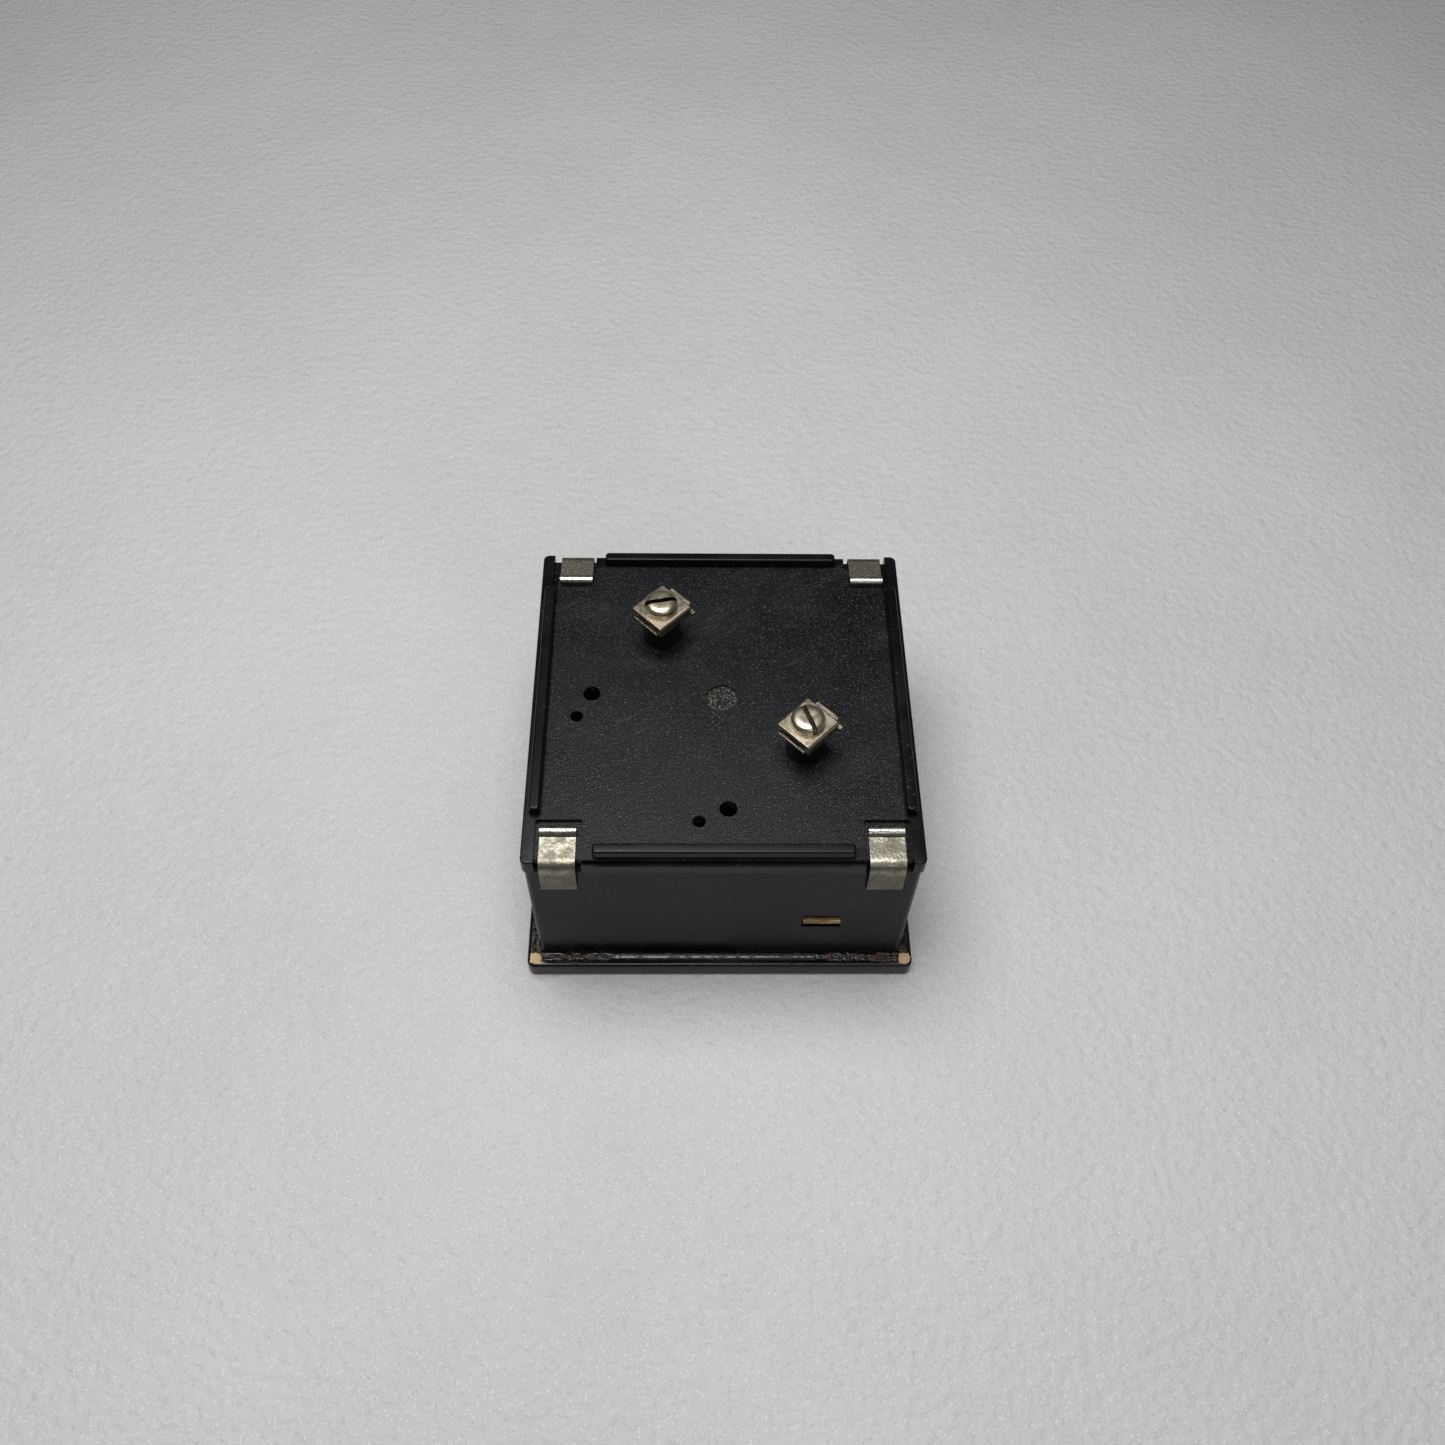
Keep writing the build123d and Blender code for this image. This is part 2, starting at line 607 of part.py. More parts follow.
# ---- terminals: insulated brass post with a saddle clamp and a slotted screw ----------------------------
post_top = cover_top + post_height
base_plate_top = post_top + base_plate_thick
clamp_low = base_plate_top + clamp_opening
clamp_top = clamp_low + clamp_thick
washer_low = cover_under - washer_thick
lug_low = washer_low - lug_thick
nut_low = lug_low - nut_thick
stud_end = nut_low - stud_tail
flange_inner = clamp_side - 2 * clamp_thick
lip_at = clamp_side / 2 + base_lip_gap
head_low = clamp_top + head_gap
head_top = head_low + head_height
for key, centre in terminal_centres.items():
    with BuildPart() as collar:
        with BuildSketch(level(cover_top, centre)):
            Circle(collar_radius)
            Circle(post_radius + collar_gap, mode=Mode.SUBTRACT)
        extrude(amount=post_height - collar_short)
    save(collar, f"terminal_collar_{key}")

    with BuildPart() as post:
        with BuildSketch(level(cover_top, centre)):
            Circle(post_radius)
        extrude(amount=post_height)
        with BuildSketch(level(cover_top, centre)):
            Circle(stud_radius)
        extrude(amount=stud_end - cover_top)
        with BuildSketch(level(post_top, centre)):
            Circle(screw_radius + thread_gap)
        extrude(amount=-post_tap_depth, mode=Mode.SUBTRACT)
    save(post, f"terminal_post_{key}")

    with BuildPart() as base_plate:
        with BuildSketch(level(post_top, centre, terminal_turn)):
            Rectangle(base_plate_length, flange_inner - 2 * clamp_gap)
            with Locations((lip_at, base_lip[0])):
                Rectangle(base_plate_thick, base_lip[1] - base_lip[0], align=(Align.MIN, Align.MIN))
            with Locations((lip_at, base_tab[1])):
                Rectangle(base_tab[0], base_lip[0] - base_tab[1], align=(Align.MIN, Align.MIN))
            Circle(screw_radius + 2 * thread_gap, mode=Mode.SUBTRACT)
        extrude(amount=base_plate_thick)
        with BuildSketch(level(post_top, centre, terminal_turn)):
            with Locations((lip_at, base_lip[0])):
                Rectangle(base_plate_thick, base_lip[1] - base_lip[0], align=(Align.MIN, Align.MIN))
        extrude(amount=clamp_top - post_top)
    save(base_plate, f"terminal_plate_{key}")

    along = level(0, centre, terminal_turn)
    with BuildPart() as clamp:
        with BuildSketch(Plane(origin=along.origin, x_dir=along.y_dir, z_dir=along.x_dir)):
            with Locations((0, clamp_low - clamp_flange)):
                Rectangle(clamp_side, clamp_thick + clamp_flange, align=(Align.CENTER, Align.MIN))
                Rectangle(flange_inner, clamp_flange, align=(Align.CENTER, Align.MIN), mode=Mode.SUBTRACT)
        extrude(amount=clamp_side / 2, both=True)
        saddle = clamp.faces().sort_by(Axis.Z)[-1]
        fillet(saddle.edges().filter_by(lambda e: abs(e.tangent_at(0).dot(along.x_dir)) > 0.9), clamp_bend)
        with BuildSketch(level(clamp_low, centre)):
            Circle(screw_radius + clamp_hole_gap)
        extrude(amount=clamp_thick, mode=Mode.SUBTRACT)
    save(clamp, f"clamp_plate_{key}")

    with BuildPart() as screw:
        with BuildSketch(Plane(origin=(*centre, 0), x_dir=(1, 0, 0), z_dir=(0, -1, 0))):
            with BuildLine():
                Polyline((0, head_top), (0, head_low - screw_length),
                         (screw_radius, head_low - screw_length), (screw_radius, head_low),
                         (head_radius, head_low), (head_radius, head_low + head_side))
                Spline((head_radius, head_low + head_side), (0, head_top), tangents=((0, 1), (-1, 0)))
            make_face()
        revolve(axis=Axis((*centre, 0), (0, 0, 1)))
        with BuildSketch(level(head_top + head_height, centre, slot_turns[key])):
            Rectangle(3 * head_radius, slot_width)
        extrude(amount=-head_height - slot_depth, mode=Mode.SUBTRACT)
    save(screw, f"clamp_screw_{key}")

    with BuildPart() as washer:
        with BuildSketch(level(washer_low, centre)):
            Circle(washer_radius)
            Circle(stud_radius + stud_gap, mode=Mode.SUBTRACT)
        extrude(amount=washer_thick)
    save(washer, f"terminal_washer_{key}")

    with BuildPart() as lug:
        with BuildSketch(level(lug_low, centre, -135)):
            Circle(washer_radius)
            with Locations((lug_reach / 2, 0)):
                Rectangle(lug_reach, lug_width)
            with Locations((lug_eye_at, 0)):
                Circle(lug_eye, mode=Mode.SUBTRACT)
            Circle(stud_radius + stud_gap, mode=Mode.SUBTRACT)
        extrude(amount=lug_thick)
    save(lug, f"solder_lug_{key}")

    with BuildPart() as nut:
        with BuildSketch(level(nut_low, centre)):
            RegularPolygon(nut_flats / 2, 6, major_radius=False)
            Circle(stud_radius + stud_gap, mode=Mode.SUBTRACT)
        extrude(amount=nut_thick)
        chamfer(nut.faces().sort_by(Axis.Z)[0].outer_wire().edges(), nut_chamfer)
    save(nut, f"terminal_nut_{key}")

# ---- dial plate, its posts and screws, and the pointer's stops -----------------------------------------
dial_half = inner_half - dial_gap
with BuildPart() as dial_plate:
    with BuildSketch(Plane.XY.offset(dial_front)):
        RectangleRounded(2 * dial_half, 2 * dial_half, inner_corner)
        with Locations((pivot_at - dial_cut, pivot_at - dial_cut)):
            Rectangle(dial_half * 2, dial_half * 2, align=(Align.MIN, Align.MIN), mode=Mode.SUBTRACT)
        with Locations(*dial_posts):
            Circle(small_shank + small_shank_gap, mode=Mode.SUBTRACT)
    extrude(amount=dial_thick)
save(dial_plate, "dial_plate")

with BuildPart() as dial_pillars:
    with BuildSketch(Plane.XY.offset(dial_rear)):
        with Locations(*dial_posts):
            Circle(dial_post_radius)
            Circle(small_shank + small_shank_gap, mode=Mode.SUBTRACT)
    extrude(amount=plate_front - dial_rear)
save(dial_pillars, "dial_pillars")
screws("dial_screws", dial_posts, small_shank, dial_head_radius, dial_head, dial_front, dial_screw_reach,
       up=False)

with BuildPart() as pointer_stops:
    with BuildSketch(Plane.XY.offset(dial_front)):
        with Locations(*[around(pivot, stop_at, angle) for angle in stop_angles]):
            Circle(stop_radius)
    extrude(amount=-stop_height)
save(pointer_stops, "pointer_stops")

# ---- corner mask: cover over the movement's corner, on two posts from the movement plate ------------------
with BuildPart() as corner_mask:
    with BuildSketch(Plane.XY.offset(mask_front)):
        with Locations((mask_low, mask_low)):
            Rectangle(mask_side, mask_side, align=(Align.MIN, Align.MIN))
    extrude(amount=mask_thick + mask_skirt)
    inner_edge = corner_mask.edges().filter_by(Axis.Z).group_by(Axis.X)[0].sort_by(Axis.Y)[0]
    fillet(inner_edge, mask_corner)
    with BuildSketch(Plane.XY.offset(mask_rear)):
        with Locations((mask_low + mask_wall, mask_low + mask_wall)):
            Rectangle(mask_side, mask_side, align=(Align.MIN, Align.MIN))
    extrude(amount=mask_skirt, mode=Mode.SUBTRACT)
    with BuildSketch(Plane.XY.offset(mask_rear)):
        with Locations((mask_post_near, mask_post_far), (mask_post_far, mask_post_near)):
            Circle(mask_post_radius)
    extrude(amount=plate_front - mask_rear)
    with BuildSketch(Plane.XY.offset(mask_front)):
        with Locations(adjuster_centre):
            Circle(adjuster_boss + adjuster_bore_gap)
    extrude(amount=mask_thick, mode=Mode.SUBTRACT)
save(corner_mask, "corner_mask")

# ---- movement plate, fixed to the rear cover's bosses --------------------------------------------------
yoke_screw_at = (yoke_radius + yoke_bore) / 2
yoke_screws = [around(pivot, yoke_screw_at, 45), around(pivot, yoke_screw_at, 225)]
bridge_legs = [around(pivot, bridge_leg_at, 135), around(pivot, bridge_leg_at, 315)]
with BuildPart() as movement_plate:
    with BuildSketch(Plane.XY.offset(plate_front)):
        RectangleRounded(plate_side, plate_side, plate_corner)
        with Locations(pivot):
            Circle(yoke_bore, mode=Mode.SUBTRACT)
        with Locations(*boss_centres, *yoke_screws, *bridge_legs):
            Circle(small_shank + small_shank_gap, mode=Mode.SUBTRACT)
    extrude(amount=plate_thick)
save(movement_plate, "movement_plate")
screws("movement_screws", boss_centres, small_shank, plate_screw[0], plate_screw[1], plate_front,
       plate_thick + plate_screw[2], up=False)
screws("yoke_screws", yoke_screws, small_shank, yoke_screw[0], yoke_screw[1], plate_rear,
       plate_thick + yoke_screw[2], up=True)

# ---- magnet system: soft iron yoke ring, core magnet and the two pieces that hold it --------------------
with BuildPart() as yoke_ring:
    with BuildSketch(level(yoke_front, pivot)):
        Circle(yoke_radius)
        Circle(yoke_bore, mode=Mode.SUBTRACT)
    extrude(amount=plate_front - yoke_front)
    with BuildSketch(Plane.XY.offset(yoke_front)):
        with Locations(*bridge_legs):
            Circle(small_shank + small_shank_gap)
    extrude(amount=bridge_tap_depth, mode=Mode.SUBTRACT)
    with BuildSketch(Plane.XY.offset(plate_front)):
        with Locations(*yoke_screws):
            Circle(small_shank + small_shank_gap)
    extrude(amount=-yoke_tap_depth, mode=Mode.SUBTRACT)
save(yoke_ring, "yoke_ring")

with BuildPart() as core_magnet:
    with BuildSketch(level(core_front, pivot)):
        Circle(core_radius)
    extrude(amount=core_height)
    fillet(core_magnet.faces().filter_by(Plane.XY).edges(), core_round)
save(core_magnet, "core_magnet")

with BuildPart() as core_supports:
    for angle in (135, 315):
        with BuildSketch(level(core_front + support_inset, pivot, angle - support_turn / 2)):
            with BuildLine():
                CenterArc((0, 0), yoke_bore, 0, support_turn)
                CenterArc((0, 0), core_radius, 0, support_turn)
                Line((core_radius, 0), (yoke_bore, 0))
                Line(around((0, 0), core_radius, support_turn), around((0, 0), yoke_bore, support_turn))
            make_face()
        extrude(amount=core_height - 2 * support_inset)
save(core_supports, "core_supports")


# ---- bridges: bars over and under the magnet that carry the jewel screws ----------------------------------
def bridge(name, bar_low, leg_low, leg_high, boss_low, boss_high):
    """Bar across the yoke on two legs, with a boss and a hole for the jewel screw on the pivot line."""
    with BuildPart() as piece:
        with BuildSketch(level(bar_low, pivot, 135)):
            SlotOverall(2 * bridge_leg_at + bridge_width, bridge_width)
        extrude(amount=bridge_thick)
        with BuildSketch(level(leg_low, pivot, 135)):
            with Locations((-bridge_leg_at, 0), (bridge_leg_at, 0)):
                Rectangle(leg_thick + leg_spread, bridge_width)
        extrude(amount=leg_high - leg_low)
        with BuildSketch(level(boss_low, pivot)):
            Circle(bridge_boss_radius)
        extrude(amount=boss_high - boss_low)
        with BuildSketch(level(min(bar_low, boss_low), pivot)):
            Circle(jewel_radius)
        extrude(amount=bridge_thick + bridge_boss, mode=Mode.SUBTRACT)
        with BuildSketch(Plane.XY.offset(min(bar_low, leg_low))):
            with Locations(*bridge_legs):
                Circle(small_shank + small_shank_gap)
        extrude(amount=leg_high - leg_low + bridge_thick, mode=Mode.SUBTRACT)
    save(piece, name)


def jewel(name, cup_face, length):
    """Slotted jewel screw: its cup takes the spindle's pivot. A positive length runs towards +Z."""
    with BuildPart() as piece:
        with BuildSketch(level(cup_face, pivot)):
            Circle(jewel_radius)
        extrude(amount=length)
        with BuildSketch(level(cup_face, pivot)):
            Circle(jewel_bore)
        extrude(amount=jewel_cup if length > 0 else -jewel_cup, mode=Mode.SUBTRACT)
        with BuildSketch(level(cup_face + length, pivot, jewel_slot_turn)):
            Rectangle(3 * jewel_radius, jewel_slot[0])
        extrude(amount=-jewel_slot[1] if length > 0 else jewel_slot[1], mode=Mode.SUBTRACT)
    save(piece, name)


front_leg_low = bridge_rear
bridge("front_bridge", bridge_front, front_leg_low, yoke_front, bridge_rear, boss_rear)
bridge("rear_bridge", rear_bridge_front, plate_rear, rear_bridge_front,
       rear_bridge_front - bridge_boss, rear_bridge_front)
screws("front_bridge_screws", bridge_legs, small_shank, bridge_screw[0], bridge_screw[1], bridge_front,
       yoke_front - bridge_front + bridge_screw[2], up=False)
screws("rear_bridge_screws", bridge_legs, small_shank, bridge_screw[0], bridge_screw[1], rear_bridge_rear,
       rear_bridge_rear - plate_front - leg_inset, up=True)
jewel("front_jewel_screw", boss_rear, -jewel_length)
rear_cup = rear_bridge_front - bridge_boss
jewel("rear_jewel_screw", rear_cup, jewel_length)

# ---- moving coil: aluminium former with its winding -----------------------------------------------------
former_inner = core_radius + former_gap
former_outer = former_inner + former_thick
winding_outer = former_outer + winding_thick


def coil_loop(name, inner, outer, depth_in, depth_out, width):
    """Upright rectangular loop round the core, in the plane of the pointer and the pivot."""
    middle = (core_front + core_rear) / 2
    with BuildPart() as loop:
        with BuildSketch(Plane(origin=(*pivot, middle), x_dir=(1, 0, 0), z_dir=(0, -1, 0))):
            RectangleRounded(2 * outer, depth_out, former_corner)
            Rectangle(2 * inner, depth_in, mode=Mode.SUBTRACT)
        extrude(amount=width / 2, both=True)
    save(loop, name)


former_depth = core_height + 2 * end_gap
former_depth_out = former_depth + 2 * former_thick
coil_loop("coil_former", former_inner, former_outer, former_depth, former_depth_out, coil_width)
coil_loop("coil_winding", former_outer, winding_outer, former_depth_out, coil_rear - coil_front,
          coil_width - 2 * winding_inset)


def spindle(name, foot_face, cup_face):
    """Pivot shaft on a foot that is bonded to the coil: shaft, spring collet and a thin pivot end."""
    side = 1 if cup_face > foot_face else -1
    tip = cup_face + side * (jewel_cup - pivot_end_gap)
    shoulder = tip - side * pivot_length
    with BuildPart() as piece:
        with BuildSketch(level(foot_face, pivot)):
            Circle(foot_radius)
        extrude(amount=side * foot_thick)
        with BuildSketch(level(foot_face, pivot)):
            Circle(spindle_radius)
        extrude(amount=shoulder - foot_face)
        with BuildSketch(level(shoulder, pivot)):
            Circle(pivot_radius)
        extrude(amount=tip - shoulder)
    save(piece, name)


spindle("front_spindle", coil_front, boss_rear)
spindle("rear_spindle", coil_rear, rear_cup)

# ---- hairsprings, and the stud that holds the rear one ----------------------------------------------------
spiral("front_hairspring", spring_front, spring_end)
rear_spring_front = rear_cup - jewel_cup - spring_height
spiral("rear_hairspring", rear_spring_front, spring_end)
with BuildPart() as rear_spring_stud:
    arm_turn = level(rear_cup, pivot, spring_end)
    with BuildSketch(arm_turn):
        with Locations((spring_post_at / 2 + bridge_boss_radius / 2, 0)):
            SlotOverall(spring_post_at + spring_arm[0] - bridge_boss_radius, spring_arm[0])
        Circle(bridge_boss_radius + spring_arm_gap, mode=Mode.SUBTRACT)
    extrude(amount=spring_arm[1])
    with BuildSketch(arm_turn):
        with Locations((spring_post_at, 0)):
            Circle(spring_stud_radius)
    extrude(amount=rear_spring_front - rear_cup)
save(rear_spring_stud, "rear_spring_stud")

# ---- pointer: thin tapered blade with a cross of balance arms ---------------------------------------------
with BuildPart() as pointer:
    with BuildSketch(level(pointer_front, pivot)):
        Polygon((0, pointer_root), (-pointer_length, pointer_tip), (-pointer_length, -pointer_tip),
                (0, -pointer_root), align=None)
        with Locations((pointer_tail / 2, 0)):
            SlotOverall(pointer_tail + tail_width, tail_width)
        Rectangle(tail_width, 2 * pointer_tail)
        Circle(foot_radius)
        Circle(spindle_radius, mode=Mode.SUBTRACT)
    extrude(amount=pointer_thick)
save(pointer, "pointer")

with BuildPart() as balance_weights:
    with BuildSketch(level(pointer_front, pivot)):
        with Locations((pointer_tail, 0), (0, pointer_tail), (0, -pointer_tail)):
            Circle(weight_radius)
    extrude(amount=-weight_thick)
save(balance_weights, "balance_weights")

# ---- zero adjuster: slotted screw in the window, whose pin turns the zero lever ----------------------------
with BuildPart() as zero_adjuster:
    with BuildSketch(level(adjuster_inset, adjuster_centre)):
        Circle(adjuster_head)
    extrude(amount=glass_rear - adjuster_inset)
    with BuildSketch(level(glass_rear + adjuster_play, adjuster_centre)):
        Circle(adjuster_flange)
    extrude(amount=mask_gap - 2 * adjuster_play)
    with BuildSketch(level(glass_rear, adjuster_centre)):
        Circle(adjuster_boss)
    extrude(amount=mask_rear + adjuster_shoulder - glass_rear)
    with BuildSketch(level(mask_rear, adjuster_centre, 45)):
        with Locations((pin_offset, 0)):
            Circle(pin_radius)
    extrude(amount=lever_rear + pin_end - mask_rear)
    with BuildSketch(level(adjuster_inset, adjuster_centre)):
        Rectangle(3 * adjuster_head, adjuster_slot)
    extrude(amount=adjuster_slot_depth, mode=Mode.SUBTRACT)
save(zero_adjuster, "zero_adjuster")

pin_arm = adjuster_arm + pin_offset
with BuildPart() as zero_lever:
    with BuildSketch(level(lever_front, pivot, 45)):
        Circle(lever_hub_radius)
        with Locations((pin_arm / 2, 0)):
            Rectangle(pin_arm + 2 * lever_end, lever_width)
        with Locations((-lever_tail / 2, 0)):
            SlotOverall(lever_tail, lever_tail_width)
        with Locations((pin_arm + lever_end, 0)):
            Rectangle(fork_length, 2 * (pin_radius + fork_gap), align=(Align.MAX, Align.CENTER),
                      mode=Mode.SUBTRACT)
        Circle(bridge_boss_radius + lever_bore_gap, mode=Mode.SUBTRACT)
    extrude(amount=lever_thick)
    with BuildSketch(level(lever_rear, pivot, spring_end)):
        with Locations((spring_post_at, 0)):
            Circle(spring_stud_radius)
    extrude(amount=spring_rear - lever_rear)
save(zero_lever, "zero_lever")

with BuildPart() as lever_washer:
    with BuildSketch(level(lever_rear + lever_gap, pivot)):
        Circle(bridge_boss_radius + washer_margin)
        Circle(bridge_boss_radius, mode=Mode.SUBTRACT)
    extrude(amount=lever_washer_thick)
save(lever_washer, "lever_washer")

# ---- series resistor: flanged bobbin with its winding, on the movement plate -----------------------------
with BuildPart() as resistor_bobbin:
    with BuildSketch(level(plate_rear, resistor_centre)):
        Circle(resistor_core)
    extrude(amount=resistor_height)
    for low in (plate_rear, plate_rear + resistor_height - resistor_flange):
        with BuildSketch(level(low, resistor_centre)):
            Circle(resistor_radius)
        extrude(amount=resistor_flange)
save(resistor_bobbin, "resistor_bobbin")

with BuildPart() as resistor_winding:
    with BuildSketch(level(plate_rear + resistor_flange, resistor_centre)):
        Circle(resistor_radius - winding_step)
        Circle(resistor_core, mode=Mode.SUBTRACT)
    extrude(amount=resistor_height - 2 * resistor_flange)
save(resistor_winding, "resistor_winding")

# ---- lead wires: terminal A to the resistor, resistor to the rear spring stud, terminal B to the plate -----
lug_tip = {key: around(centre, lug_eye_at, -135) for key, centre in terminal_centres.items()}
bobbin_top = plate_rear + resistor_height + wire_gap
wire_low = lug_low - wire_gap
bobbin_in = (resistor_centre[0] - bobbin_hole_at, resistor_centre[1])
bobbin_out = (resistor_centre[0] + bobbin_hole_at, resistor_centre[1])
plate_end = (resistor_centre[0] + wire_end[0], resistor_centre[1] + wire_end[1])
jog = (lug_tip["b"][0] + wire_step, lug_tip["b"][1] - wire_step)
over_bobbin = bobbin_top + wire_rise
wire_turn = plate_rear + wire_step
wires = (
    ((*lug_tip["a"], wire_low), (*lug_tip["a"], over_bobbin), (*bobbin_in, over_bobbin),
     (*bobbin_in, bobbin_top)),
    ((*bobbin_out, bobbin_top), (*bobbin_out, over_bobbin), (*plate_end, over_bobbin),
     (*plate_end, plate_rear + wire_gap)),
    ((*lug_tip["b"], wire_low), (*lug_tip["b"], wire_turn), (*jog, wire_turn), (*jog, plate_rear + wire_gap)),
)
with BuildPart() as lead_wires:
    for points in wires:
        with BuildLine() as route:
            FilletPolyline(*points, radius=wire_round)
        with BuildSketch(Plane(origin=route.line @ 0, z_dir=route.line % 0)):
            Circle(wire_radius)
        sweep(path=route.line)
save(lead_wires, "lead_wires")
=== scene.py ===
"""Looks of the square analog panel meter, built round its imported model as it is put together."""

import json
from math import cos, pi, radians, sin

import bmesh
import bpy
import numpy as np
from mathutils import Matrix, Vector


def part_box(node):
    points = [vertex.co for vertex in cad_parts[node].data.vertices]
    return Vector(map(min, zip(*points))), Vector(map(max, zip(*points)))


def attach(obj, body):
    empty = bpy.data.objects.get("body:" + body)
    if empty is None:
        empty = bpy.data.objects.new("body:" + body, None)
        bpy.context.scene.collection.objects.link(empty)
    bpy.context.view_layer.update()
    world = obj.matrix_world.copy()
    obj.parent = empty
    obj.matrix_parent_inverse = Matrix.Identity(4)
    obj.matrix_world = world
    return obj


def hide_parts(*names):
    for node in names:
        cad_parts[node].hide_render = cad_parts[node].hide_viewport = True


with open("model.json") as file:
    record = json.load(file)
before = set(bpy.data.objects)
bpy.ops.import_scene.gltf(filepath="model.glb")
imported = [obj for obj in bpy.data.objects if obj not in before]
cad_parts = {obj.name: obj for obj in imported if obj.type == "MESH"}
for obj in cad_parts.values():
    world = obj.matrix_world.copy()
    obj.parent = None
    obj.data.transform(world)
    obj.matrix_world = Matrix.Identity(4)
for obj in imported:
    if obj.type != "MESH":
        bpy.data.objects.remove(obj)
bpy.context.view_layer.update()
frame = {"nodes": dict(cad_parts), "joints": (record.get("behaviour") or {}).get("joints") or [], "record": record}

MM = 0.001

# ---- Camera: looks down on the rear cover from the near side, as the meter lies face down on a sheet.
FRAME_SIDE = 1445
FOCAL = 1408.9
SENSOR = 36.0
PITCH, YAW, ROLL = radians(55.04), radians(-1.99), radians(-1.78)
AXIS_POINT = (718.2, 723.1)
lens = bpy.data.cameras.new("camera")
lens.sensor_width = SENSOR
lens.lens = FOCAL / FRAME_SIDE * SENSOR
lens.shift_x = (FRAME_SIDE / 2 - AXIS_POINT[0]) / FRAME_SIDE
lens.shift_y = (AXIS_POINT[1] - FRAME_SIDE / 2) / FRAME_SIDE
lens.clip_start, lens.clip_end = 0.01, 20.0
camera = bpy.data.objects.new("camera", lens)
turn = Matrix.Rotation(YAW, 4, "Z") @ Matrix.Rotation(pi / 2 - PITCH, 4, "X") @ Matrix.Rotation(-ROLL, 4, "Z")
camera.matrix_world = Matrix.Translation((-7.63 * MM, -199.0 * MM, 326.5 * MM)) @ turn
bpy.context.scene.collection.objects.link(camera)
bpy.context.scene.camera = camera


# ---- Sheet and light: the meter lies on a pale matte foam sheet under one wide soft lamp and the room.
# The sheet is the first to use the pebbled skin, the cloudy mottling and the fine specks that finishes share.
def put(tree, kind, sockets=(), **settings):
    """Adds a shader node; sockets gives an input's name or number its value, or another node's output."""
    made = tree.nodes.new("ShaderNode" + kind)
    for key, value in settings.items():
        setattr(made, key, value)
    for key, value in dict(sockets).items():
        if isinstance(value, bpy.types.NodeSocket):
            tree.links.new(value, made.inputs[key])
        else:
            made.inputs[key].default_value = value
    return made


def surface(name, **plain):
    """Starts a material with a Principled surface; plain gives sockets that are the same all over."""
    material = bpy.data.materials.new(name)
    material.use_nodes = True
    tree = material.node_tree
    shader = tree.nodes["Principled BSDF"]
    for key, value in plain.items():
        shader.inputs[key.replace("_", " ")].default_value = value
    place = put(tree, "TexCoord").outputs["Object"]
    return material, tree, shader, place


def math(tree, operation, *values):
    """One Math node; values are numbers or outputs."""
    return put(tree, "Math", dict(enumerate(values)), operation=operation).outputs[0]


def mix(tree, factor, low, high):
    """Mixes two colours by a factor."""
    made = put(tree, "Mix", {0: factor, 6: low, 7: high}, data_type="RGBA")
    return made.outputs[2]


def dab(tree, base, mask, share, colour):
    """Lays a share of a colour over the base colour where a mask is."""
    return mix(tree, math(tree, "MULTIPLY", mask, share), base, colour)


def spread(tree, value, low, high, to_low=0.0, to_high=1.0):
    """Maps a value from one range to another, with smooth ends."""
    made = put(tree, "MapRange", {0: value, 1: low, 2: high, 3: to_low, 4: to_high},
               interpolation_type="SMOOTHSTEP")
    return made.outputs[0]


def bump(tree, shader, height, depth):
    """Feeds a height into the surface's normal; depth is in metres."""
    made = put(tree, "Bump", {"Height": height, "Distance": depth, "Strength": 1.0})
    tree.links.new(made.outputs[0], shader.inputs["Normal"])


def feed(tree, shader, **links):
    """Links outputs to the surface's sockets."""
    for key, value in links.items():
        tree.links.new(value, shader.inputs[key.replace("_", " ")])


def effect(name, inputs, outputs):
    """Starts a shader node group with named float inputs and outputs, and gives its parts."""
    tree = bpy.data.node_groups.new(name, "ShaderNodeTree")
    for key, value in inputs.items():
        kind = "NodeSocketVector" if key == "Place" else "NodeSocketFloat"
        socket = tree.interface.new_socket(key, in_out="INPUT", socket_type=kind)
        if key != "Place":
            socket.default_value = value
    for key in outputs:
        tree.interface.new_socket(key, in_out="OUTPUT", socket_type="NodeSocketFloat")
    given = tree.nodes.new("NodeGroupInput").outputs
    result = tree.nodes.new("NodeGroupOutput").inputs
    return tree, given, result


def use(tree, group, place, **values):
    """Places a shader node group in a material with its own values."""
    made = tree.nodes.new("ShaderNodeGroup")
    made.node_tree = group
    tree.links.new(place, made.inputs["Place"])
    for key, value in values.items():
        made.inputs[key].default_value = value
    return made.outputs


def grid_mesh(name, points, closed_u=False, closed_v=False):
    """Mesh of a grid of points, rows by columns by xyz; a closed direction joins its last line to its first."""
    rows, columns, _ = points.shape
    index = np.arange(rows * columns).reshape(rows, columns)
    down = np.roll(index, -1, 0) if closed_u else index[1:]
    here = index if closed_u else index[:-1]
    if closed_v:
        quads = np.stack([here, np.roll(here, -1, 1), np.roll(down, -1, 1), down], -1)
    else:
        quads = np.stack([here[:, :-1], here[:, 1:], down[:, 1:], down[:, :-1]], -1)
    mesh = bpy.data.meshes.new(name)
    mesh.from_pydata(points.reshape(-1, 3).tolist(), [], quads.reshape(-1, 4).tolist())
    mesh.polygons.foreach_set("use_smooth", np.ones(len(mesh.polygons), bool))
    return mesh


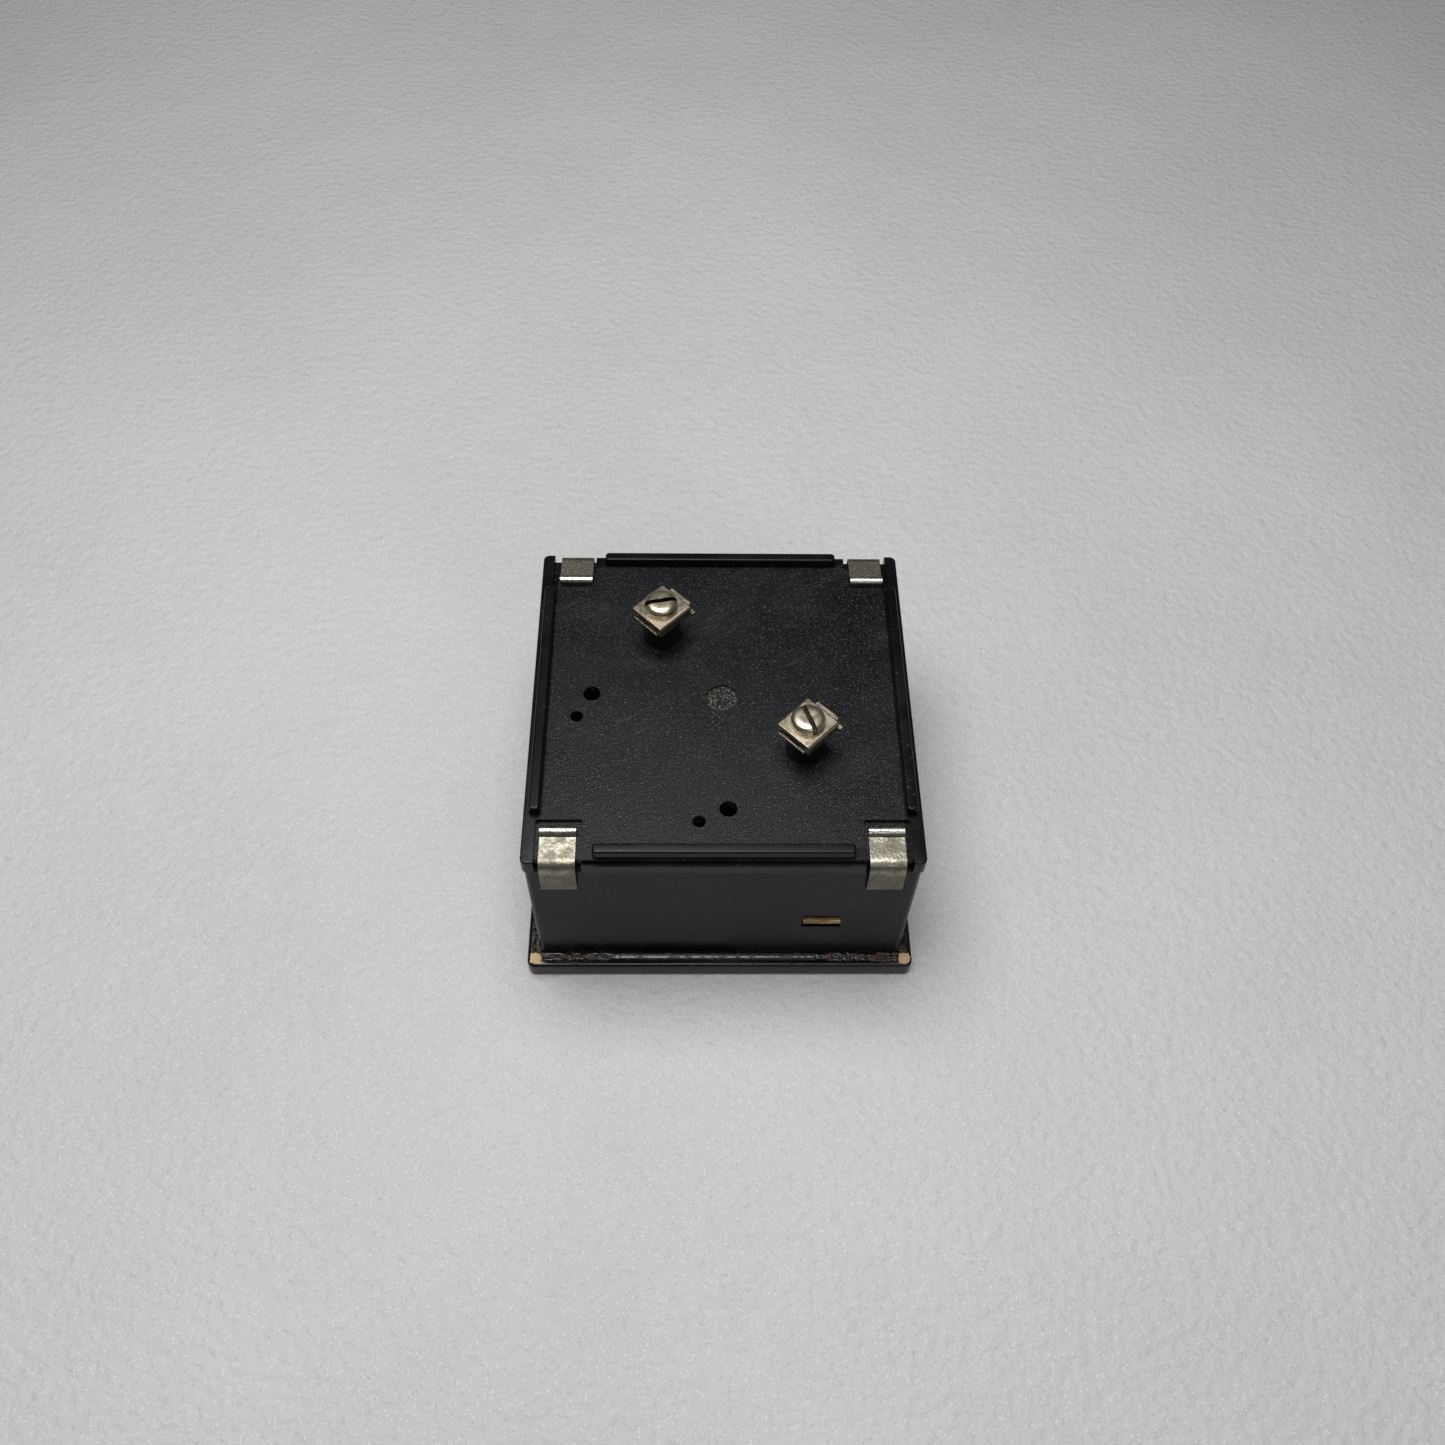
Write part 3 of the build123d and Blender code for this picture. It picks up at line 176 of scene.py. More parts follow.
grain, given, result = effect("moulded_grain", {"Place": None, "Cells": 2600.0}, ["Height", "Painted Glint"])
pits = put(grain, "TexVoronoi", {"Vector": given["Place"], "Scale": given["Cells"]}, feature="SMOOTH_F1")
soft = put(grain, "TexNoise", {"Vector": given["Place"], "Scale": given["Cells"], "Detail": 3.0})
grain.links.new(math(grain, "ADD", math(grain, "MULTIPLY", pits.outputs[0], 0.6), soft.outputs[0]),
                result["Height"])
# The second output picks tiny points for painted glints: a material lightens its colour there as if the grain
# caught the light.
painted_glint = put(grain, "TexNoise", {"Vector": given["Place"], "Scale": given["Cells"], "Detail": 1.0,
                                "Lacunarity": 3.0})
grain.links.new(spread(grain, painted_glint.outputs[0], 0.6, 0.74), result["Painted Glint"])

clouds, given, result = effect("grime_clouds", {"Place": None, "Size": 120.0, "From": 0.45, "To": 0.65},
                               ["Mask"])
cloud = put(clouds, "TexNoise", {"Vector": given["Place"], "Scale": given["Size"], "Detail": 6.0,
                                 "Roughness": 0.62})
clouds.links.new(spread(clouds, cloud.outputs[0], given["From"], given["To"]), result["Mask"])

specks, given, result = effect("dirt_specks", {"Place": None, "Cells": 1100.0, "Reach": 0.16, "Amount": 0.5},
                               ["Mask"])
cell = put(specks, "TexVoronoi", {"Vector": given["Place"], "Scale": given["Cells"]})
chosen = math(specks, "LESS_THAN", put(specks, "SeparateXYZ", {0: cell.outputs["Color"]}).outputs[0],
              given["Amount"])
dots = math(specks, "LESS_THAN", cell.outputs["Distance"], given["Reach"])
specks.links.new(math(specks, "MULTIPLY", dots, chosen), result["Mask"])

reach = [-3.0, 3.0]
floor_mesh = grid_mesh("foam_sheet", np.stack(np.meshgrid(reach, reach, [0.0], indexing="ij"), -1)[:, :, 0])
foam, tree, shader, place = surface("foam_sheet", Roughness=0.62)
cells = use(tree, grain, place, Cells=420.0)
tone = use(tree, clouds, place, Size=6.0, From=0.3, To=0.7)
base = mix(tree, tone["Mask"], (0.585, 0.585, 0.58, 1), (0.64, 0.64, 0.635, 1))
# Painted glints: bright specks stand in for the sparkle of the foam.
painted_glints = use(tree, specks, place, Cells=1500.0, Reach=0.32, Amount=0.22)
# Painted shade: darker specks stand in for shade in the foam's dimples.
painted_pit_shade = use(tree, specks, place, Cells=1150.0, Reach=0.34, Amount=0.22)
base = dab(tree, base, painted_glints["Mask"], 0.5, (0.90, 0.90, 0.90, 1))
feed(tree, shader, Base_Color=dab(tree, base, painted_pit_shade["Mask"], 0.22, (0.30, 0.30, 0.30, 1)))
bump(tree, shader, cells["Height"], 0.0006)
floor = bpy.data.objects.new("foam_sheet", floor_mesh)
floor_mesh.materials.append(foam)
bpy.context.scene.collection.objects.link(floor)

world = bpy.data.worlds.new("room")
world.use_nodes = True
world.node_tree.nodes["Background"].inputs[0].default_value = (0.93, 0.96, 1.0, 1)
world.node_tree.nodes["Background"].inputs[1].default_value = 0.085
bpy.context.scene.world = world


def lamp(name, place, aim, size, power):
    """Wide soft area lamp at a place, turned to an aim."""
    data = bpy.data.lights.new(name, "AREA")
    data.shape = "DISK"
    data.size = size
    data.energy = power
    made = bpy.data.objects.new(name, data)
    way = Matrix.Translation(place).to_translation() - Matrix.Translation(aim).to_translation()
    made.matrix_world = Matrix.Translation(place) @ way.to_track_quat("Z", "Y").to_matrix().to_4x4()
    bpy.context.scene.collection.objects.link(made)


lamp("overhead_lamp", (-0.08, 0.03, 0.68), (0, 0.02, 0), 0.50, 4.3)
lamp("near_lamp", (0.35, -0.75, 0.75), (0, -0.05, 0), 0.6, 1.1)


# ---- Bezel: square front frame, injection moulded in glossy black plastic. Old cement and handling have
# left brown residue round its ledge, where the case foot is let into it, and tan flakes at its corners.
NODES = frame["nodes"]
BODY = {node: body for body, nodes in frame["record"]["behaviour"]["bodies"].items() for node in nodes}


def finish_piece(name, mesh, body, slot, material, *replaced):
    """Puts a finished mesh in the scene, on its body, with its material and the nodes it stands for; slot is not
    used.
    """
    piece = bpy.data.objects.new(name, mesh)
    bpy.context.scene.collection.objects.link(piece)
    mesh.materials.clear()
    mesh.materials.append(material)
    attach(piece, body)
    if replaced:
        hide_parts(*replaced)
    return piece


def softened(node, name, slot, material, width, segments=2):
    """Copy of a node whose corners are broken by a small round, as moulding and tumbling leave them."""
    mesh = NODES[node].data.copy()
    mesh.name = name
    work = bmesh.new()
    work.from_mesh(mesh)
    bmesh.ops.remove_doubles(work, verts=work.verts, dist=1e-6)
    bmesh.ops.dissolve_limit(work, angle_limit=radians(0.02), verts=work.verts, edges=work.edges)
    bmesh.ops.recalc_face_normals(work, faces=work.faces)
    for face in work.faces:
        face.smooth = True
    for edge in work.edges:
        edge.smooth = edge.calc_face_angle(0) < radians(32)
    work.to_mesh(mesh)
    work.free()
    piece = finish_piece(name, mesh, BODY[node], slot, material, node)
    rounding = piece.modifiers.new("broken_corners", "BEVEL")
    rounding.width = width * MM
    rounding.segments = segments
    rounding.limit_method = "ANGLE"
    rounding.angle_limit = radians(32)
    rounding.harden_normals = True
    return piece


# Hairline scratches: thin bands of a noise that is stretched along one way, kept only in patches.
hairlines, given, result = effect("hairline_scratches",
                                  {"Place": None, "Angle": 0.4, "Long": 14.0, "Fine": 900.0},
                                  ["Mask"])
turned = put(hairlines, "VectorRotate", {"Vector": given["Place"], "Angle": given["Angle"]},
             rotation_type="Z_AXIS")
axes = put(hairlines, "SeparateXYZ", {0: turned.outputs[0]})
stretched = put(hairlines, "CombineXYZ", {
    0: math(hairlines, "MULTIPLY", axes.outputs[0], given["Long"]),
    1: math(hairlines, "MULTIPLY", axes.outputs[1], given["Fine"]),
    2: math(hairlines, "MULTIPLY", axes.outputs[2], given["Fine"])})
lines = put(hairlines, "TexNoise", {"Vector": stretched.outputs[0], "Scale": 1.0, "Detail": 2.0})
band = math(hairlines, "ABSOLUTE", math(hairlines, "SUBTRACT", lines.outputs[0], 0.5))
thin = spread(hairlines, band, 0.0, 0.012, 1.0, 0.0)
patches = put(hairlines, "TexNoise", {"Vector": given["Place"], "Scale": 60.0, "Detail": 1.0})
hairlines.links.new(math(hairlines, "MULTIPLY", thin, spread(hairlines, patches.outputs[0], 0.52, 0.66)),
                    result["Mask"])

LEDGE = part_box("bezel")[1][2]
FOOT_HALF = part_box("glass_seal")[1][0] + 0.2 * MM
gloss_black, tree, shader, place = surface("gloss_black_moulding", IOR=1.5, Specular_IOR_Level=0.36)
marks = use(tree, hairlines, place, Angle=0.3, Long=18.0, Fine=1500.0)
haze = use(tree, clouds, place, Size=70.0, From=0.42, To=0.7)
spots = use(tree, specks, place, Cells=700.0, Reach=0.12, Amount=0.25)
axes = put(tree, "SeparateXYZ", {0: place})
outward = math(tree, "MAXIMUM", math(tree, "ABSOLUTE", axes.outputs[0]),
               math(tree, "ABSOLUTE", axes.outputs[1]))
on_ledge = math(tree, "GREATER_THAN", axes.outputs[2], LEDGE - 1.0 * MM)
by_foot = spread(tree, outward, FOOT_HALF + 0.5 * MM, FOOT_HALF + 2.9 * MM, 1.0, 0.0)
near_foot = math(tree, "MULTIPLY", by_foot, on_ledge)
left_side = spread(tree, axes.outputs[0], -38 * MM, -20 * MM, 1.0, 0.25)
right_side = spread(tree, axes.outputs[0], 22 * MM, 42 * MM, 0.0, 0.7)
where = math(tree, "MAXIMUM", left_side, right_side)
crust = use(tree, clouds, place, Size=420.0, From=0.47, To=0.58)
brown = math(tree, "MULTIPLY", math(tree, "MULTIPLY", near_foot, where), crust["Mask"])
base = mix(tree, haze["Mask"], (0.003, 0.003, 0.0034, 1), (0.006, 0.006, 0.0066, 1))
base = mix(tree, brown, base, (0.055, 0.022, 0.012, 1))
base = dab(tree, base, spots["Mask"], 0.35, (0.20, 0.19, 0.17, 1))
rough = math(tree, "ADD", spread(tree, haze["Mask"], 0, 1, 0.12, 0.24), math(tree, "MULTIPLY", brown, 0.4))
rough = math(tree, "ADD", rough, math(tree, "MULTIPLY", marks["Mask"], 0.15))
feed(tree, shader, Base_Color=base, Roughness=rough)
bump(tree, shader, math(tree, "ADD", math(tree, "MULTIPLY", brown, 0.6),
                        math(tree, "MULTIPLY", marks["Mask"], -0.3)),
     0.00008)
softened("bezel", "bezel_moulding", "black_gloss", gloss_black, 0.12)


def wobble(angle, seed, waves=9):
    """Smooth closed wave of unit height round a loop: a sum of sines whose sizes fall with their number."""
    turns = np.arange(1, waves + 1)
    draw = np.random.default_rng(seed)
    phases = draw.uniform(0, 2 * pi, waves)
    sizes = draw.uniform(0.4, 1.0, waves) / turns**0.6
    return (sizes * np.sin(angle[..., None] * turns + phases)).sum(-1) / sizes.sum()


def sealed(mesh):
    """Merges the points that a pole or a seam doubles. Closed shells face outwards, open sheets face up."""
    shape = bmesh.new()
    shape.from_mesh(mesh)
    bmesh.ops.remove_doubles(shape, verts=shape.verts, dist=0.0005 * MM)
    bmesh.ops.recalc_face_normals(shape, faces=shape.faces)
    is_open = any(edge.is_boundary for edge in shape.edges)
    if is_open and sum(face.normal.z * face.calc_area() for face in shape.faces) < 0:
        bmesh.ops.reverse_faces(shape, faces=shape.faces)
    shape.to_mesh(mesh)
    shape.free()
    return mesh


def flake(name, centre, width, depth, seed, slot, material, high=0.18):
    """Thin crust on a flat place: rings shrink from an uneven rim to the middle while the height rises."""
    around = np.linspace(0, 2 * pi, 72, endpoint=False)[None, :]
    inward = np.linspace(0, 1, 9)[:, None]
    rim = 1 + 0.35 * wobble(around, seed, 14)
    square = 1 / np.maximum(np.abs(np.cos(around)), np.abs(np.sin(around))) ** 0.7
    reach = rim * square * (1 - inward)
    climb = np.sin(np.clip(inward * 3.2, 0, 1) * pi / 2)
    rise = high * MM * climb * (1 + 0.3 * (1 - inward) * wobble(around + inward, seed + 1))
    points = np.stack([centre[0] + width / 2 * reach * np.cos(around),
                       centre[1] + depth / 2 * reach * np.sin(around),
                       LEDGE - 0.02 * MM + rise * np.ones_like(reach)], -1)
    return finish_piece(name, sealed(grid_mesh(name, points, closed_v=True)), "housing", slot, material)


tan_flake, tree, shader, place = surface("tan_residue", IOR=1.45)
mottle = use(tree, clouds, place, Size=900.0, From=0.35, To=0.7)
dirt = use(tree, specks, place, Cells=2600.0, Reach=0.3, Amount=0.2)
base = mix(tree, mottle["Mask"], (0.62, 0.42, 0.20, 1), (0.76, 0.58, 0.34, 1))
feed(tree, shader, Base_Color=dab(tree, base, dirt["Mask"], 0.6, (0.16, 0.08, 0.04, 1)),
     Roughness=spread(tree, mottle["Mask"], 0, 1, 0.5, 0.75))
bump(tree, shader, mottle["Mask"], 0.00006)
corner = 45.9 * MM
for number, (x, y, size) in enumerate(((-1, -1, 2.9), (1, -1, 2.9), (-1, 1, 1.7), (1, 1, 2.1))):
    flake(f"corner_flake_{number}", (x * corner, y * corner), size * MM, size * MM, 11 + number,
          "black_gloss", tan_flake)

# ---- Cement bead: glossy black cement that squeezed out where the case foot is set in the bezel. It is smooth
# along the middle of each side, and lumpy, brown and crusted towards the corners and all along the left.
steps = 2400
along = np.linspace(0, 1, steps, endpoint=False)[:, None]
side = np.floor(along * 4).astype(int)
run = (along * 4 - side) * 2 - 1
one, none = np.ones_like(run), np.zeros_like(run)
line_x = np.choose(side, [run, one, -run, -one]) * FOOT_HALF
line_y = np.choose(side, [-one, run, one, -run]) * FOOT_HALF
out_x, out_y = np.choose(side, [none, one, none, -one]), np.choose(side, [-one, none, one, none])
clean = np.clip((0.62 - np.abs(run + 0.02)) / 0.10, 0, 1) * (side != 3)
lumps = 1 + (1 - clean) * 1.5 * wobble(along * 2 * pi, 5, 420) + clean * 0.16 * wobble(along * 2 * pi, 8, 150)
width, height = 1.75 * MM * np.clip(lumps, 0.35, 1.45), 0.62 * MM * np.clip(lumps, 0.25, 1.5)
corner_share = np.clip((1 - np.abs(run)) / 0.012, 0, 1)
across = np.linspace(0, pi / 2, 10)[None, :]
crumbs = 1 + (1 - clean) * 0.16 * np.sin(across * 9 + 40 * wobble(along * 2 * pi, 21, 60))
reach = (width * corner_share + 0.02 * MM) * np.cos(across) ** 1.15 * crumbs
points = np.stack([line_x + out_x * reach, line_y + out_y * reach, LEDGE + height * np.sin(across) * crumbs],
                  -1)
inner = np.stack([line_x - out_x * 0.2 * MM, line_y - out_y * 0.2 * MM, LEDGE + height * 0.9], -1)
under = np.stack([line_x - out_x * 0.2 * MM, line_y - out_y * 0.2 * MM, LEDGE + 0 * height - 0.05 * MM], -1)
cement, tree, shader, place = surface("black_cement", IOR=1.5)
mottle = use(tree, clouds, place, Size=650.0, From=0.50, To=0.62)
crust = use(tree, specks, place, Cells=1300.0, Reach=0.30, Amount=0.25)
axes = put(tree, "SeparateXYZ", {0: place})
ends = spread(tree, math(tree, "ABSOLUTE", math(tree, "ADD", axes.outputs[0], 1.0 * MM)), 25 * MM, 30 * MM)
worn = math(tree, "MULTIPLY", ends, mottle["Mask"])
base = mix(tree, worn, (0.004, 0.004, 0.0045, 1), (0.075, 0.030, 0.018, 1))
base = mix(tree, math(tree, "MULTIPLY", math(tree, "MULTIPLY", crust["Mask"], ends), 0.5), base,
           (0.30, 0.20, 0.15, 1))
feed(tree, shader, Base_Color=base, Roughness=spread(tree, worn, 0, 1, 0.16, 0.5))
bump(tree, shader, mottle["Mask"], 0.00004)
bead = sealed(grid_mesh("cement_bead", np.concatenate([points, inner, under], 1), closed_u=True, closed_v=True))
finish_piece("cement_bead", bead, "housing", "black_gloss", cement)

# ---- Window and seal: float glass bedded on a thin rubber frame, clamped by the case foot.
clear, tree, shader, place = surface("window_glass", IOR=1.5, Metallic=0.0, Transmission_Weight=1.0)
smear = use(tree, clouds, place, Size=45.0, From=0.5, To=0.8)
feed(tree, shader, Base_Color=mix(tree, smear["Mask"], (0.97, 0.985, 0.98, 1), (0.93, 0.95, 0.94, 1)),
     Roughness=spread(tree, smear["Mask"], 0, 1, 0.01, 0.06))
NODES["window_glass"].data.materials.clear()
NODES["window_glass"].data.materials.append(clear)


def dress(slot, material, *nodes):
    """Gives CAD nodes whose shape is right their finish."""
    for node in nodes:
        NODES[node].data.materials.clear()
        NODES[node].data.materials.append(material)


rubber, tree, shader, place = surface("seal_rubber")
bloom = use(tree, clouds, place, Size=300.0, From=0.4, To=0.7)
feed(tree, shader, Base_Color=mix(tree, bloom["Mask"], (0.02, 0.02, 0.02, 1), (0.05, 0.05, 0.048, 1)),
     Roughness=spread(tree, bloom["Mask"], 0, 1, 0.7, 0.9))
dress("seal", rubber, "glass_seal")

# ---- Case: deep drafted tube, injection moulded in black plastic with a smooth, slightly worn skin.
# Handling has left faint upright and slanted scratches and a little dust near its foot.
case_skin, tree, shader, place = surface("smooth_black_moulding", IOR=1.5, Specular_IOR_Level=0.13)
marks = use(tree, hairlines, place, Angle=0.2, Long=25.0, Fine=700.0)
haze = use(tree, clouds, place, Size=30.0, From=0.36, To=0.66)
dust = use(tree, specks, place, Cells=800.0, Reach=0.10, Amount=0.2)
scuffs = use(tree, clouds, place, Size=160.0, From=0.6, To=0.72)
base = mix(tree, haze["Mask"], (0.0022, 0.0023, 0.0030, 1), (0.0068, 0.0070, 0.0084, 1))
base = dab(tree, base, marks["Mask"], 0.09, (0.10, 0.10, 0.10, 1))
base = dab(tree, base, dust["Mask"], 0.18, (0.22, 0.20, 0.17, 1))
rough = math(tree, "ADD", spread(tree, haze["Mask"], 0, 1, 0.20, 0.34),
             math(tree, "MULTIPLY", scuffs["Mask"], 0.12))
feed(tree, shader, Base_Color=base, Roughness=rough)
waves = put(tree, "TexNoise", {"Vector": place, "Scale": 55.0, "Detail": 1.0})
relief = math(tree, "SUBTRACT", math(tree, "MULTIPLY", waves.outputs[0], 1.2),
              math(tree, "MULTIPLY", marks["Mask"], 0.10))
bump(tree, shader, relief, 0.0002)
softened("case", "case_moulding", "black_gloss", case_skin, 0.15)

# ---- Rear cover: flat lipped moulding with a spark-eroded skin; its glints in tiny points are painted as lighter colour. Its four ribs and
# its rim are smoother. There are whitish rubs, fine scratches, and the broken-off gate in the middle.
RIB_HEIGHT = 2.6 * MM
COVER_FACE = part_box("rear_cover")[1][2] - RIB_HEIGHT
RIB_INNER = 41.4 * MM
cover_skin, tree, shader, place = surface("grained_black_moulding", IOR=1.5, Specular_IOR_Level=0.22)
axes = put(tree, "SeparateXYZ", {0: place})
outward = math(tree, "MAXIMUM", math(tree, "ABSOLUTE", axes.outputs[0]),
               math(tree, "ABSOLUTE", axes.outputs[1]))
field = math(tree, "MULTIPLY", math(tree, "LESS_THAN", outward, RIB_INNER),
             math(tree, "LESS_THAN", axes.outputs[2], COVER_FACE + 0.3 * MM))
skin = use(tree, grain, place, Cells=2900.0)
swirl = put(tree, "TexNoise", {"Vector": place, "Scale": 22.0, "Detail": 3.0, "Distortion": 2.2})
flow = use(tree, hairlines, place, Angle=0.75, Long=60.0, Fine=420.0)
marks = use(tree, hairlines, place, Angle=-0.5, Long=22.0, Fine=1300.0)
rub = use(tree, clouds, place, Size=190.0, From=0.60, To=0.74)
dust = use(tree, specks, place, Cells=900.0, Reach=0.12, Amount=0.12)
tone = spread(tree, swirl.outputs[0], 0.3, 0.7)
base = mix(tree, tone, (0.0018, 0.0020, 0.0025, 1), (0.0048, 0.0050, 0.0060, 1))
# Painted glints: the grained field is lightened in tiny points where the grain would catch the light.
base = mix(tree, math(tree, "MULTIPLY", math(tree, "MULTIPLY", skin["Painted Glint"], field), 0.65), base,
           (0.12, 0.122, 0.13, 1))
base = mix(tree, math(tree, "MULTIPLY", math(tree, "MULTIPLY", rub["Mask"], field), 0.10), base,
           (0.10, 0.10, 0.10, 1))
base = dab(tree, base, dust["Mask"], 0.5, (0.25, 0.24, 0.22, 1))
base = dab(tree, base, marks["Mask"], 0.22, (0.16, 0.16, 0.16, 1))
rough = math(tree, "ADD", spread(tree, field, 0, 1, 0.28, 0.33), spread(tree, tone, 0, 1, -0.04, 0.06))
feed(tree, shader, Base_Color=base, Roughness=rough)
pebbles = math(tree, "MULTIPLY", skin["Height"], spread(tree, field, 0, 1, 0.16, 1.0))
relief = math(tree, "SUBTRACT", pebbles,
              math(tree, "MULTIPLY", math(tree, "ADD", marks["Mask"], flow["Mask"]), 0.08))
bump(tree, shader, relief, 0.000085)
softened("rear_cover", "rear_cover_moulding", "black_grained", cover_skin, 0.10)

# The gate scar is a rough, torn plug in a shallow round pan: a disc grid whose height is a sum of waves.
scar, tree, shader, place = surface("torn_gate", IOR=1.5)
torn = use(tree, clouds, place, Size=1300.0, From=0.40, To=0.60)
fibres = use(tree, specks, place, Cells=3100.0, Reach=0.36, Amount=0.42)
base = mix(tree, torn["Mask"], (0.0025, 0.0025, 0.0025, 1), (0.020, 0.017, 0.013, 1))
base = dab(tree, base, fibres["Mask"], 0.85, (0.50, 0.46, 0.38, 1))
feed(tree, shader, Base_Color=base, Roughness=spread(tree, torn["Mask"], 0, 1, 0.45, 0.8))
bump(tree, shader, torn["Mask"], 0.0002)
SCAR_RADIUS = 3.72 * MM
around = np.linspace(0, 2 * pi, 96, endpoint=False)[None, :]
outwards = np.linspace(0, 1, 27)[:, None]
x = SCAR_RADIUS * outwards * np.cos(around)
y = SCAR_RADIUS * outwards * np.sin(around)
draw = np.random.default_rng(3)
waves = draw.uniform(-1, 1, (60, 2)) * 5200
phases = draw.uniform(0, 2 * pi, 60)
rough_height = np.sin(x[..., None] * waves[:, 0] + y[..., None] * waves[:, 1] + phases).sum(-1) / 60**0.5
pan = COVER_FACE - 0.39 * MM + (0.12 + 0.085 * rough_height) * MM * (1 - outwards**6)
finish_piece("gate_scar", sealed(grid_mesh("gate_scar", np.stack([x, y, pan], -1), closed_v=True)), "housing",
             "black_grained", scar)

# ---- Cover clips: four bent strips of nickel-plated spring steel. The plate has dulled to an olive tarnish
# with dark pores. The bent-up hump is lighter as a painted highlight, the leg darker as painted shade, and bright
# specks are painted glints.
strip, tree, shader, place = surface("tarnished_nickel", Metallic=1.0)
tarnish = use(tree, clouds, place, Size=330.0, From=0.36, To=0.66)
stain = use(tree, clouds, place, Size=900.0, From=0.56, To=0.70)
pores = use(tree, specks, place, Cells=3000.0, Reach=0.30, Amount=0.34)
painted_glints = use(tree, specks, place, Cells=3600.0, Reach=0.26, Amount=0.22)
rolled = use(tree, grain, place, Cells=1500.0)
high = put(tree, "SeparateXYZ", {0: place}).outputs[2]
# Painted highlight: the hump, raised above the cover face, is made lighter.
hump_painted_highlight = spread(tree, high, COVER_FACE - 0.2 * MM, COVER_FACE + 0.4 * MM)
base = mix(tree, tarnish["Mask"], (0.17, 0.16, 0.12, 1), (0.34, 0.325, 0.26, 1))
# Painted shade: the leg that hangs down the case wall is made darker.
leg_painted_shade = spread(tree, high, COVER_FACE - 5.0 * MM, COVER_FACE - 2.2 * MM, 1.0, 0.0)
base = dab(tree, base, leg_painted_shade, 0.8, (0.12, 0.11, 0.08, 1))
base = dab(tree, base, hump_painted_highlight, 0.8, (0.56, 0.55, 0.51, 1))
base = dab(tree, base, stain["Mask"], 0.55, (0.10, 0.075, 0.045, 1))
base = dab(tree, base, pores["Mask"], 0.7, (0.04, 0.035, 0.025, 1))
# Painted glints: bright specks stand in for light glinting on the plate.
base = dab(tree, base, painted_glints["Mask"], 0.6, (0.80, 0.79, 0.74, 1))
rough = math(tree, "ADD", spread(tree, tarnish["Mask"], 0, 1, 0.46, 0.34), spread(tree, hump_painted_highlight, 0, 1, 0.0, -0.12))
feed(tree, shader, Base_Color=base, Roughness=rough)
bump(tree, shader, math(tree, "SUBTRACT", rolled["Height"], pores["Mask"]), 0.00005)
for place_name in ("near_left", "near_right", "far_left", "far_right"):
    softened(f"cover_clip_{place_name}", f"clip_strip_{place_name}", "nickel_strip", strip, 0.09)

# ---- Clamp hooks: brass plates inside the case whose hooks stand out of the wall for the panel clamps.
old_brass, tree, shader, place = surface("old_brass", Metallic=1.0)
patina = use(tree, clouds, place, Size=420.0, From=0.38, To=0.66)
pores = use(tree, specks, place, Cells=2400.0, Reach=0.25, Amount=0.2)
base = mix(tree, patina["Mask"], (0.20, 0.13, 0.045, 1), (0.46, 0.32, 0.12, 1))
base = dab(tree, base, pores["Mask"], 0.7, (0.04, 0.025, 0.01, 1))
feed(tree, shader, Base_Color=base, Roughness=spread(tree, patina["Mask"], 0, 1, 0.5, 0.33))
bump(tree, shader, patina["Mask"], 0.00004)
for side_name in ("near", "far"):
    softened(f"clamp_anchor_{side_name}", f"clamp_hook_{side_name}", "brass", old_brass, 0.12)

# ---- Terminals: a black collar round a brass post, a plated base plate, and a saddle clamp under a slotted
# pan-head screw. The plating is warm, slightly blurred nickel over brass, speckled with dirt.
plating, tree, shader, place = surface("warm_nickel_plate", Metallic=1.0)
tarnish = use(tree, clouds, place, Size=520.0, From=0.35, To=0.68)
stain = use(tree, clouds, place, Size=1500.0, From=0.60, To=0.72)
pores = use(tree, specks, place, Cells=1500.0, Reach=0.20, Amount=0.10)
soft = use(tree, grain, place, Cells=2600.0)
base = mix(tree, tarnish["Mask"], (0.50, 0.435, 0.31, 1), (0.68, 0.61, 0.47, 1))
base = dab(tree, base, stain["Mask"], 0.42, (0.16, 0.10, 0.05, 1))
base = dab(tree, base, pores["Mask"], 0.85, (0.02, 0.015, 0.01, 1))
# The screw slots are darkened: painted shade in each slot, together with the dirt in it.
for key, slot_turn in (("a", 11.0), ("b", -69.5)):
    head = [(low + high) / 2 for low, high in zip(*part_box(f"clamp_screw_{key}"))]
    head_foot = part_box(f"clamp_plate_{key}")[1][2]
    here = put(tree, "VectorMath", {0: place, 1: tuple(head)}, operation="SUBTRACT").outputs[0]
    along_slot = put(tree, "VectorRotate", {"Vector": here, "Angle": radians(-slot_turn)},
                     rotation_type="Z_AXIS")
    axes = put(tree, "SeparateXYZ", {0: along_slot.outputs[0]})
    in_slot = spread(tree, math(tree, "ABSOLUTE", axes.outputs[1]), 0.54 * MM, 0.68 * MM, 1.0, 0.0)
    in_head = math(tree, "LESS_THAN", math(tree, "ABSOLUTE", axes.outputs[0]), 4.2 * MM)
    above = math(tree, "GREATER_THAN", axes.outputs[2], head_foot + 0.4 * MM - head[2])
    dirt = math(tree, "MULTIPLY", math(tree, "MULTIPLY", in_slot, in_head), above)
    base = dab(tree, base, dirt, 0.93, (0.030, 0.020, 0.012, 1))
feed(tree, shader, Base_Color=base, Roughness=spread(tree, tarnish["Mask"], 0, 1, 0.36, 0.24))
bump(tree, shader, math(tree, "SUBTRACT", soft["Height"], pores["Mask"]), 0.000006)

insulator, tree, shader, place = surface("collar_moulding", IOR=1.5)
haze = use(tree, clouds, place, Size=260.0, From=0.4, To=0.7)
feed(tree, shader, Base_Color=mix(tree, haze["Mask"], (0.0025, 0.0025, 0.0025, 1), (0.006, 0.006, 0.006, 1)),
     Roughness=spread(tree, haze["Mask"], 0, 1, 0.38, 0.55))
bump(tree, shader, haze["Mask"], 0.00005)

